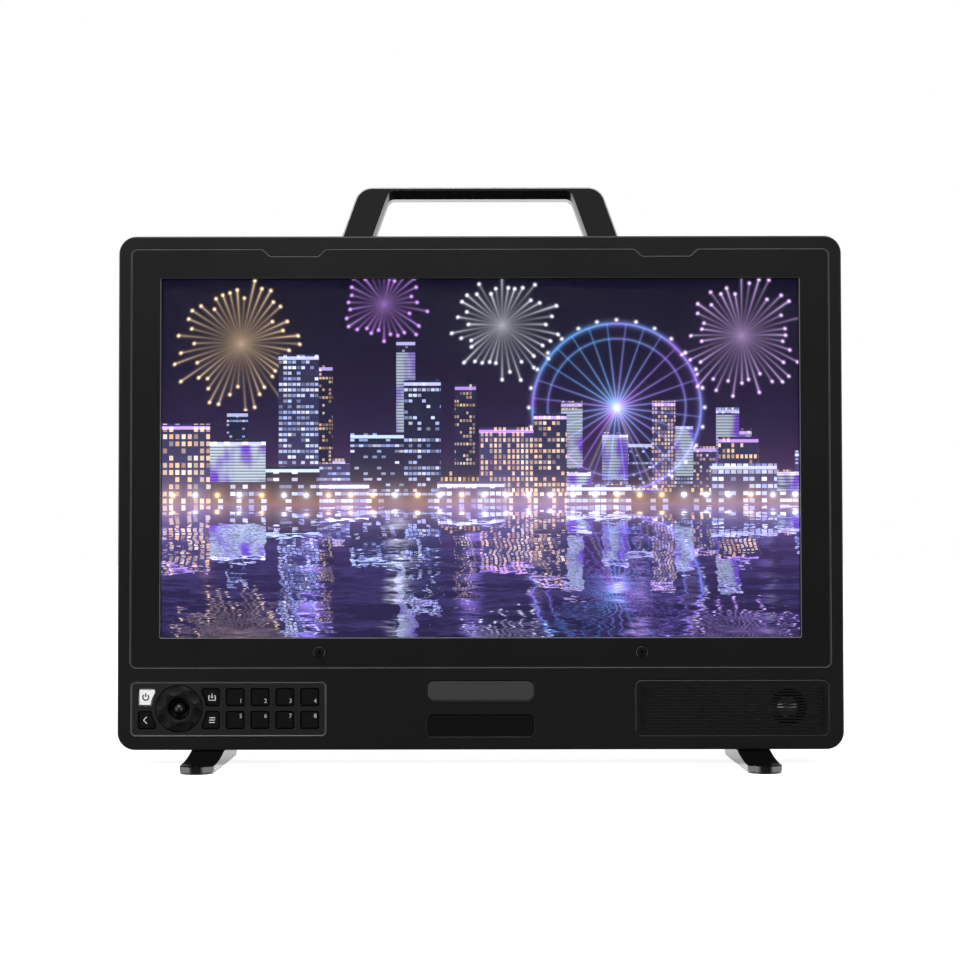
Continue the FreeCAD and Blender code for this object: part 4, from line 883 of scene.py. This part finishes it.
class Bench:
    """Modelling steps on Blender's own operators. Flat work lies in the XZ plane and faces the front."""

    CORNER_SHARE = 0.3
    ARC_STEPS = 32
    FIGURE_SHARE = 0.7
    MERGE = 1e-7

    @staticmethod
    @contextmanager
    def editing(select: str | None = "SELECT") -> Iterator[None]:
        """Edit mode, with a change to what is selected if one is named, and object mode again after it."""
        bpy.ops.object.mode_set(mode="EDIT")
        if select:
            bpy.ops.mesh.select_all(action=select)
        yield
        bpy.ops.object.mode_set(mode="OBJECT")

    @staticmethod
    def clear() -> None:
        """Select nothing."""
        bpy.ops.object.select_all(action="DESELECT")

    @staticmethod
    def take(piece: Object) -> None:
        """Select one piece and make it active."""
        Bench.clear()
        piece.select_set(True)
        bpy.context.view_layer.objects.active = piece

    @staticmethod
    def bar(x: float, z: float, width: float, height: float, turn: float = 0.0) -> Object:
        """Flat bar with rounded corners.

        Args:
            x: Middle across.
            z: Middle upright.
            width: Length of the bar before it is turned.
            height: Height of the bar before it is turned.
            turn: Angle in the plane, in radians.
        Returns:
            The bar, flat, with its place in its mesh.
        """
        Bench.clear()
        bpy.ops.mesh.primitive_plane_add(size=1.0, location=(x, 0.0, z), rotation=(math.pi / 2, turn, 0.0))
        piece = bpy.context.object
        piece.scale = (width, height, 1.0)
        bpy.ops.object.transform_apply(location=True, rotation=True, scale=True)
        with Bench.editing():
            corner = min(width, height) * Bench.CORNER_SHARE
            bpy.ops.mesh.bevel(offset=corner, segments=3, affect="VERTICES")
        return piece

    @staticmethod
    def arc(x: float, z: float, radius: float, stroke: float, gap: float) -> Object:
        """Flat ring that is open at its top.

        Args:
            x: Centre across.
            z: Centre upright.
            radius: Middle of the stroke.
            stroke: Width of the ring.
            gap: Angle of the opening, in radians.
        Returns:
            The ring, flat, with its place in its mesh.
        """
        Bench.clear()
        middle = (0.0, 0.0, 0.0)
        bpy.ops.mesh.primitive_plane_add(size=stroke, location=middle, rotation=(math.pi / 2, 0.0, 0.0))
        piece = bpy.context.object
        bpy.ops.object.transform_apply(location=True, rotation=True, scale=True)
        Bench.keep(piece, lambda place: place.x < 0.0)
        with Bench.editing():
            bpy.ops.transform.translate(value=(stroke / 2, 0.0, radius))
            sweep = 2 * math.pi - gap
            bpy.ops.mesh.spin(steps=Bench.ARC_STEPS, angle=sweep, center=middle, axis=(0.0, 1.0, 0.0))
        piece.rotation_euler = (0.0, -gap / 2, 0.0)
        piece.location = (x, 0.0, z)
        bpy.ops.object.transform_apply(location=True, rotation=True, scale=True)
        return piece

    @staticmethod
    def keep(piece: Object, wanted: Callable[[Vector], bool]) -> None:
        """Delete the points of a mesh that a test doesn't want."""
        Bench.take(piece)
        with Bench.editing("DESELECT"):
            bpy.ops.mesh.select_mode(type="VERT")
        for point in piece.data.vertices:
            point.select = not wanted(point.co)
        with Bench.editing(None):
            bpy.ops.mesh.delete(type="VERT")

    @staticmethod
    def numeral(text: str, x: float, z: float, height: float, facing: Facing) -> Object:
        """Flat numeral about a centre.

        Args:
            text: The numeral.
            x: Centre across.
            z: Centre upright.
            height: Height of the figure.
            facing: Side that it is read from.
        Returns:
            The numeral as a flat mesh with its place in it.
        """
        Bench.clear()
        bpy.ops.object.text_add()
        piece = bpy.context.object
        piece.data.body = text
        piece.data.align_x = "CENTER"
        piece.data.align_y = "CENTER"
        piece.data.size = height / Bench.FIGURE_SHARE
        bpy.ops.object.convert(target="MESH")
        piece = bpy.context.object
        piece.rotation_euler = (math.pi / 2, 0.0, facing.value)
        piece.location = (x, 0.0, z)
        bpy.ops.object.transform_apply(location=True, rotation=True, scale=True)
        return piece

    @staticmethod
    def print_from(shapes: list[Object], name: str, depth: float, relief: float) -> Object:
        """Join flat shapes into one thin print with body.

        Args:
            shapes: Flat shapes in the XZ plane.
            name: Name of the print.
            depth: Y of the surface that it is printed on.
            relief: Thickness of the print, half of it sunk.
        Returns:
            The print.
        """
        Bench.clear()
        for shape in shapes:
            shape.select_set(True)
        piece = shapes[0]
        bpy.context.view_layer.objects.active = piece
        if len(shapes) > 1:
            bpy.ops.object.join()
        with Bench.editing():
            bpy.ops.mesh.remove_doubles(threshold=Bench.MERGE)
            bpy.ops.transform.translate(value=(0.0, depth, 0.0))
        thick = piece.modifiers.new("thickness", "SOLIDIFY")
        thick.thickness = relief
        thick.offset = 0.0
        bpy.ops.object.modifier_apply(modifier=thick.name)
        with Bench.editing():
            bpy.ops.mesh.normals_make_consistent(inside=False)
        piece.name = name
        piece.data.name = name
        return piece


def ink(name: str, colour: Colour) -> Finish:
    """Matt printing ink."""
    return Finish(name, colour, 0.5, grain=0.00015, unevenness=0.05)


@dataclass
class KeyLegends:
    """Printed figures and signs on the keys of the control panel. Sizes are in metres.

    The power sign's bar counts in radii of its ring, and the tray's sides in its widths and lips in strokes.
    """

    lower_row: int = 5
    last: int = 8
    numeral_h: float = 2.5 * MM
    numeral_right: float = 3.3 * MM
    numeral_off: float = 2.35 * MM
    sign_shift: float = 0.8 * MM
    chevron_shift: float = 1.1 * MM
    stroke: float = 0.43 * MM
    relief: float = 0.06 * MM
    power_r: float = 1.75 * MM
    power_stroke: float = 0.8 * MM
    power_gap: float = math.radians(80.0)
    power_bar_off: float = 0.75
    power_bar_h: float = 1.3
    chevron_h: float = 4.1 * MM
    tray_w: float = 4.3 * MM
    tray_side: float = 0.62
    tray_drop: float = 0.42
    tray_lip: float = 2.2
    arrow_reach: float = 0.32 * MM
    arrow_arm: float = 1.15 * MM
    arrow_stem: float = 2.6 * MM
    menu_w: float = 3.5 * MM
    menu_pitch: float = 1.4 * MM
    pale: Finish = ink("legend_grey", (0.72, 0.72, 0.73))
    faint: Finish = ink("figure_grey", (0.46, 0.46, 0.47))
    dark: Finish = ink("legend_black", (0.012, 0.012, 0.013))

    def middle(self, node: str, shift: float) -> tuple[float, float]:
        """Middle of a key across and upright, with a shift to the right."""
        low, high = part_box(node)
        return (low.x + high.x) / 2 + shift, (low.z + high.z) / 2

    def finish_print(self, shapes: list[Object], node: str, finish: Finish, shop: PaintShop) -> None:
        """Print shapes on a key, so that they move with it.

        Args:
            shapes: Flat shapes.
            node: Name of the key, which is also its body's.
            finish: Colour of the print.
            shop: Where the finish is made.
        """
        piece = Bench.print_from(shapes, f"{node}_legend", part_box(node)[0].y, self.relief)
        shop.paint(piece, finish)
        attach(piece, node)
        LOG.info("%s is printed", piece.name)

    def build(self, shop: PaintShop) -> None:
        """Print all the keys."""
        for number in range(1, self.last + 1):
            node = f"user_button_{number}"
            x, z = self.middle(node, self.numeral_right)
            off = -self.numeral_off if number < self.lower_row else self.numeral_off
            figure = Bench.numeral(str(number), x, z + off, self.numeral_h, Facing.FRONT)
            self.finish_print([figure], node, self.faint, shop)
        self.finish_print(self.power_sign(), "power_button", self.dark, shop)
        self.finish_print(self.chevron(), "back_button", self.pale, shop)
        self.finish_print(self.tray_sign(), "page_button", self.pale, shop)
        self.finish_print(self.menu_sign(), "menu_button", self.pale, shop)

    def power_sign(self) -> list[Object]:
        """Open ring with a bar at its top."""
        x, z = self.middle("power_button", -self.sign_shift)
        ring = Bench.arc(x, z, self.power_r, self.power_stroke, self.power_gap)
        top = z + self.power_r * self.power_bar_off
        return [ring, Bench.bar(x, top, self.power_stroke, self.power_r * self.power_bar_h)]

    def chevron(self) -> list[Object]:
        """Arrow head that points to the left."""
        x, z = self.middle("back_button", -self.chevron_shift)
        arm = self.chevron_h / math.sqrt(2)
        reach = self.chevron_h / 4
        upper = Bench.bar(x, z + reach, arm, self.stroke, -math.pi / 4)
        return [upper, Bench.bar(x, z - reach, arm, self.stroke, math.pi / 4)]

    def tray_sign(self) -> list[Object]:
        """Tray with an arrow that points down into it."""
        x, z = self.middle("page_button", self.sign_shift)
        half = self.tray_w / 2
        side = self.tray_w * self.tray_side
        floor = z - self.tray_w * self.tray_drop
        tip = z - self.arrow_reach / 2
        lip_w = self.stroke * self.tray_lip
        shapes = [Bench.bar(x, floor, self.tray_w, self.stroke)]
        for sign in (-1, 1):
            wall = x + sign * (half - self.stroke / 2)
            lip = x + sign * (half - lip_w / 2)
            arm = x + sign * self.arrow_reach
            shapes.append(Bench.bar(wall, floor + side / 2, self.stroke, side))
            shapes.append(Bench.bar(lip, floor + side, lip_w, self.stroke))
            shapes.append(Bench.bar(arm, tip, self.arrow_arm, self.stroke, -sign * math.pi / 4))
        shapes.append(Bench.bar(x, z + self.arrow_stem / 3, self.stroke, self.arrow_stem))
        return shapes

    def menu_sign(self) -> list[Object]:
        """Three level lines."""
        x, z = self.middle("menu_button", self.sign_shift)
        return [Bench.bar(x, z + step * self.menu_pitch, self.menu_w, self.stroke) for step in (-1, 0, 1)]


@dataclass
class SocketNumbers:
    """Printed numbers beside the coaxial jacks on the back. Sizes are in metres."""

    columns: int = 4
    jack_r: float = 7.0 * MM
    numeral_h: float = 2.6 * MM
    lift: float = 7.4 * MM
    relief: float = 0.06 * MM
    print_finish: Finish = ink("socket_print", (0.5, 0.5, 0.5))

    def build(self, shop: PaintShop) -> None:
        """Print a number over each jack, counted from the left as seen from behind."""
        low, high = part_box("bnc_jacks")
        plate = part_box("io_plate")[1].y
        pitch = (high.x - low.x - 2 * self.jack_r) / (self.columns - 1)
        for index in range(2 * self.columns):
            row, column = divmod(index, self.columns)
            x = high.x - self.jack_r - column * pitch
            z = (high.z - self.jack_r if row == 0 else low.z + self.jack_r) + self.lift
            figure = Bench.numeral(str(index + 1), x, z, self.numeral_h, Facing.BACK)
            piece = Bench.print_from([figure], f"socket_number_{index + 1}", plate, self.relief)
            shop.paint(piece, self.print_finish)
            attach(piece, "chassis")
            LOG.info("%s is printed", piece.name)


@dataclass
class Cabinet:
    """Frame, bezel, handle, feet and the screws that show on them. Sizes are in metres."""

    rim_w: float = 1.0 * MM
    # Shares of painted highlight on the frame's bevels round the bezel and the control plate.
    bezel_rim: float = 0.2
    control_rim: float = 0.46
    # Its pale bevels are a painted highlight.
    bezel: Finish = Finish(
        "bezel_black", (0.0038, 0.0038, 0.0042), 0.38, grain=0.00025, wear=0.45, specular=0.38,
    )
    foot: Finish = Finish("foot_black", (0.1, 0.1, 0.102), 0.12, 1.0, grain=0.0003, relief=0.05, grazing=0.57)
    sole: Finish = Finish("sole_rubber", (0.02, 0.02, 0.02), 0.25, grain=0.0008, relief=0.1, specular=0.6)
    screw: Finish = Finish("black_screw", (0.02, 0.02, 0.021), 0.3, 0.7, grain=0.0002, wear=0.3)
    plate: Finish = Finish("name_gloss", (0.003, 0.003, 0.0033), 0.12, grain=0.001, relief=0.02)

    def rim(self, node: str, bare: float) -> Rim:
        """The frame's cut edge round a plate, with its share of painted highlight."""
        low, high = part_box(node)
        return Rim(low.x - self.rim_w, high.x + self.rim_w, low.z - self.rim_w, high.z + self.rim_w, bare)

    def shell(self) -> RimmedShell:
        """Black anodising, with a painted highlight on the bevels at the pockets of the bezel and the control
        plate.
        """
        rims = (self.rim("screen_bezel", self.bezel_rim), self.rim("control_plate", self.control_rim))
        return RimmedShell(
            "frame_black", (0.0038, 0.0038, 0.004), 0.4, grain=0.0003, wear=1.0, specular=0.38,
            depth=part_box("front_frame")[0].y + self.rim_w, rims=rims,
        )

    def bar(self) -> OuterRims:
        """Black anodising of the handle, with a painted highlight along its outer edges."""
        return OuterRims(
            "handle_black", (0.016, 0.016, 0.0164), 0.18, grain=0.0003, specular=0.55, wear=0.7,
            wear_colour=(0.6, 0.6, 0.61), middle_z=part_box("handle")[0].z,
        )

    def dress(self, shop: PaintShop) -> None:
        """Finish the outside of the box and what it stands and hangs on."""
        shop.coat(self.shell(), "front_frame", "rear_cover")
        shop.coat(self.bezel, "screen_bezel")
        shop.coat(self.bar(), "handle")
        shop.coat(self.foot, "foot_left", "foot_right")
        shop.coat(self.sole, "foot_pads")
        shop.coat(self.screw, "bezel_screws", "rear_screws", "handle_screws", "foot_screws")
        shop.coat(self.plate, "name_plate")


@dataclass
class ScreenStack:
    """Cover glass, display and the layers behind it. Sizes are in metres."""

    glass_lap: float = 6.9 * MM
    glass: ClearGlass = ClearGlass("cover_glass")
    gasket: Felt = Felt("foam_black", (0.01, 0.01, 0.01), 0.9, grain=0.0006, relief=0.4)
    sheet: Finish = Finish("white_sheet", (0.8, 0.8, 0.78), 0.5, grain=0.0005)
    tray: DrawnMetal = DrawnMetal("tray_steel", (0.45, 0.45, 0.47), 0.4, 1.0, grain=0.0003)

    def picture(self) -> HarbourPicture:
        """The display's own finish, set in the window of the bezel."""
        low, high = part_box("cover_glass")
        return HarbourPicture(
            "display", (0.004, 0.004, 0.005), 0.3, grain=0.0003, relief=0.02,
            left=low.x + self.glass_lap, bottom=low.z + self.glass_lap,
            picture_w=high.x - low.x - 2 * self.glass_lap, picture_h=high.z - low.z - 2 * self.glass_lap,
        )

    def dress(self, shop: PaintShop) -> None:
        """Finish the screen from its glass to its tray."""
        shop.coat(self.glass, "cover_glass")
        shop.coat(self.picture(), "lcd_panel")
        shop.coat(self.gasket, "panel_gasket")
        shop.coat(self.sheet, "diffuser_sheet", "led_bars")
        shop.coat(self.tray, "panel_tray")


@dataclass
class ControlPanel:
    """Keys, jog wheel, joystick and tally window, with the printed legends."""

    # Its pale bevels are a painted highlight.
    plate: Finish = Finish(
        "control_black", (0.0052, 0.0052, 0.0055), 0.45, grain=0.00025, wear=0.48, specular=0.42,
    )
    keys: Finish = Finish("key_rubber", (0.0044, 0.0044, 0.0045), 0.5, grain=0.0002, relief=0.2, specular=0.1)
    # Its dark bevels are painted shade, for the shadow in the gap round the key.
    white: Finish = Finish(
        "key_white", (0.85, 0.85, 0.85), 0.4, grain=0.0002, unevenness=0.02, wear=0.9,
        wear_colour=(0.02, 0.02, 0.02),
    )
    wheel: Finish = Finish(
        "jog_black", (0.003, 0.003, 0.0032), 0.54, grain=0.00015, relief=0.05, specular=0.16,
    )
    stick: Finish = Finish("stick_black", (0.006, 0.006, 0.0065), 0.36, grain=0.0002, relief=0.04)
    inside: Finish = Finish("inner_black", (0.01, 0.01, 0.01), 0.6)
    # Its dark bevels are painted shade, for the shadow in the gap round the lens.
    tally: Finish = Finish(
        "tally_grey", (0.038, 0.038, 0.039), 0.4, grain=0.0003, relief=0.03, unevenness=0.04, wear=0.85,
        wear_colour=(0.004, 0.004, 0.004),
    )
    board: CircuitBoard = CircuitBoard("circuit_board", (0.006, 0.045, 0.02), 0.45, grain=0.0006)

    def dress(self, shop: PaintShop) -> None:
        """Finish the control panel and print its keys."""
        shop.coat(self.plate, "control_plate")
        shop.coat(self.keys, "back_button", "page_button", "menu_button")
        shop.coat(self.keys, *(f"user_button_{number}" for number in range(1, 9)))
        shop.coat(self.white, "power_button")
        shop.coat(self.wheel, "jog_ring")
        shop.coat(self.stick, "joystick_nub")
        shop.coat(self.inside, "encoder_base", "joystick_gimbal", "joystick_sleeve", "key_switches")
        shop.coat(self.tally, "tally_lens")
        shop.coat(self.board, "key_board", "tally_board", "main_board", "io_board")
        KeyLegends().build(shop)


@dataclass
class SpeakerPanel:
    """Slotted grille and the speaker behind it. Sizes are in metres."""

    dome_r: float = 6.2 * MM
    # Its pale bevels are a painted highlight.
    grille: Finish = Finish(
        "grille_black", (0.0025, 0.0025, 0.0027), 0.45, grain=0.00025, wear=0.22, specular=0.3,
    )
    # Paler than the felt's own colour: painted light that lifts the shade in the grille's slots.
    felt: Felt = Felt(
        "dust_felt", (0.09, 0.09, 0.09), 0.95, grain=0.0003, relief=0.5, fleck=(0.13, 0.13, 0.13),
    )
    basket: Finish = Finish("basket_black", (0.008, 0.008, 0.008), 0.6)
    magnet: DrawnMetal = DrawnMetal("magnet_steel", (0.4, 0.4, 0.42), 0.35, 1.0, grain=0.0003)

    def cone(self) -> RoundMetal:
        """Black paper cone with a bright metal dome."""
        low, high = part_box("speaker_cone")
        return RoundMetal(
            "cone_silver", (0.012, 0.012, 0.012), 0.3, grain=0.0004, relief=0.03,
            centre_x=(low.x + high.x) / 2, centre_z=(low.z + high.z) / 2, radius=self.dome_r,
        )

    def dress(self, shop: PaintShop) -> None:
        """Finish the grille and the speaker."""
        shop.coat(self.grille, "speaker_grille")
        shop.coat(self.felt, "grille_felt")
        shop.coat(self.cone(), "speaker_cone")
        shop.coat(self.basket, "speaker_basket")
        shop.coat(self.magnet, "speaker_magnet")


@dataclass
class RearPanel:
    """Mount plate, fans, cooling and sockets."""

    steel: DrawnMetal = DrawnMetal("steel", (0.42, 0.42, 0.44), 0.36, 1.0, grain=0.00025)
    aluminium: DrawnMetal = DrawnMetal("bare_aluminium", (0.68, 0.69, 0.7), 0.36, 1.0, grain=0.0002)
    fan: Finish = Finish("fan_black", (0.016, 0.016, 0.017), 0.45)
    sockets: Finish = Finish("socket_plate", (0.02, 0.02, 0.021), 0.4, grain=0.0003, wear=0.2)
    nickel: Finish = Finish("jack_metal", (0.62, 0.6, 0.56), 0.24, 1.0, grain=0.0003, relief=0.05)
    shell: Finish = Finish("shield_metal", (0.55, 0.55, 0.56), 0.3, 1.0, grain=0.0003, relief=0.05)
    inlet: Finish = Finish("inlet_black", (0.014, 0.014, 0.014), 0.45)
    pins: Finish = Finish("gold_pin", (0.75, 0.55, 0.22), 0.25, 1.0, grain=0.0002, relief=0.05)

    def dress(self, shop: PaintShop) -> None:
        """Finish the back and number its jacks."""
        shop.coat(self.steel, "vesa_plate", "vesa_posts")
        shop.coat(self.aluminium, "heat_sink")
        shop.coat(self.fan, "fan_frames", "fan_rotor_left", "fan_rotor_right")
        shop.coat(self.sockets, "io_plate")
        shop.coat(self.nickel, "bnc_jacks")
        shop.coat(self.shell, "hdmi_sockets", "network_socket")
        shop.coat(self.inlet, "power_inlet")
        shop.coat(self.pins, "power_pins")
        SocketNumbers().build(shop)


@dataclass(frozen=True)
class SoftLamp:
    """A square soft lamp that faces the monitor. Metres and watts."""

    name: str
    place: Place
    size: float
    power: float


@dataclass
class Studio:
    """Camera, lamps, floor and backdrop. Metres, degrees and watts."""

    camera_place: Place = (-0.0003, -1.35, 0.124)
    camera_rise: float = 1.95
    camera_roll: float = 0.08
    lens: float = 84.17
    sensor: float = 36.0
    aim: Place = (0.0, 0.0, 0.17)
    lamps: tuple[SoftLamp, ...] = (
        SoftLamp("lamp_top", (-0.15, -1.1, 1.7), 1.2, 45.0),
        SoftLamp("lamp_left", (-1.8, -1.7, 1.0), 1.0, 3.0),
        SoftLamp("lamp_low_left", (-2.2, -1.7, 0.3), 0.6, 10.0),
        SoftLamp("lamp_low_right", (2.2, -1.7, 0.3), 0.6, 7.0),
        SoftLamp("lamp_right", (1.8, -1.5, 1.2), 1.0, 1.5),
        SoftLamp("lamp_back", (0.4, 1.7, 1.6), 1.2, 14.0),
    )
    floor_size: float = 60.0
    floor_tone: float = 0.8
    floor_mottle: float = 0.02
    floor_roughness: float = 0.8
    floor_glow: float = 0.86
    room_tone: float = 0.03
    ambient: float = 0.45
    cloth: tuple[float, float] = (-0.01, 0.03)
    room: tuple[float, float] = (-0.75, -0.25)
    ceiling: tuple[float, float] = (0.35, 0.7)
    sideways: tuple[float, float] = (0.45, 0.9)

    def build(self) -> None:
        """Set up the whole studio."""
        self.camera()
        for lamp in self.lamps:
            self.hang(lamp)
        self.floor()
        self.backdrop()
        bpy.context.scene.view_settings.view_transform = "Standard"

    def camera(self) -> None:
        """Camera low in front of the monitor, tipped up a little."""
        bpy.ops.object.camera_add(
            location=self.camera_place,
            rotation=(math.radians(90.0 + self.camera_rise), math.radians(self.camera_roll), 0.0),
        )
        camera = bpy.context.object
        camera.data.lens = self.lens
        camera.data.sensor_width = self.sensor
        bpy.context.scene.camera = camera

    def hang(self, lamp: SoftLamp) -> None:
        """Hang one soft lamp."""
        bpy.ops.object.light_add(type="AREA", location=lamp.place)
        made = bpy.context.object
        made.name = lamp.name
        made.rotation_euler = (Vector(lamp.place) - Vector(self.aim)).to_track_quat("Z", "Y").to_euler()
        made.data.size = lamp.size
        made.data.energy = lamp.power

    def rays(self, graph: Graph) -> tuple[Field, Field]:
        """1 for what the camera sees by itself, and 1 for what gloss and glass show."""
        path = graph.node("ShaderNodeLightPath")
        glossy = Field(graph, path.outputs["Is Glossy Ray"])
        shown = glossy.least(Field(graph, path.outputs["Is Transmission Ray"]))
        return Field(graph, path.outputs["Is Camera Ray"]), shown

    def floor(self) -> None:
        """Pale floor that shows white and keeps a faint shadow.

        A dark cloth in front keeps the floor's light off the monitor, except in gloss that faces a side.
        The way a ray comes in counts for reflected rays only. To a camera, the floor is bare from everywhere.
        """
        Bench.clear()
        bpy.ops.mesh.primitive_plane_add(size=self.floor_size)
        floor = bpy.context.object
        floor.name = "studio_floor"
        material, graph, shader = blank_material("studio_floor")
        camera, shown = self.rays(graph)
        ray = Field(graph, graph.node("ShaderNodeNewGeometry").outputs["Incoming"])
        from_x, from_y, _ = graph.parts(ray)
        side = from_x.size().eased(*self.sideways).least(from_y.below(0.0))
        bare = camera.least(graph.axes()[1].eased(*self.cloth)).least(shown * side)
        mottle = (graph.noise(graph.place(), scale=40.0, detail=3.0) - 0.5) * self.floor_mottle
        tone = (self.floor_tone + mottle) * bare
        graph.fill(
            shader, Base_Color=graph.tint(WHITE, tone), Roughness=self.floor_roughness,
            Emission_Color=WHITE, Emission_Strength=camera.least(shown * bare) * self.floor_glow,
        )
        floor.data.materials.append(material)

    def backdrop(self) -> None:
        """White all round for the camera. For the monitor's gloss, the room in front and above is dark."""
        world = bpy.data.worlds.new("studio")
        bpy.context.scene.world = world
        world.use_nodes = True
        graph = Graph(world.node_tree)
        background = world.node_tree.nodes["Background"]
        _, y, z = graph.axes("Generated")
        camera, shown = self.rays(graph)
        room = y.eased(*self.room) * (1.0 - z.eased(*self.ceiling))
        room = self.room_tone + (1.0 - self.room_tone) * room
        level = camera + (1.0 - camera) * (shown * room + (1.0 - shown) * self.ambient)
        graph.fill(background, Strength=level, Color=WHITE)


def main() -> None:
    """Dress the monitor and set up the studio."""
    logging.basicConfig(level=logging.INFO, format="%(message)s")
    shop = PaintShop()
    for assembly in (Cabinet(), ScreenStack(), ControlPanel(), SpeakerPanel(), RearPanel()):
        assembly.dress(shop)
        LOG.info("%s is dressed", type(assembly).__name__)
    Studio().build()


if __name__ == "__main__":
    main()
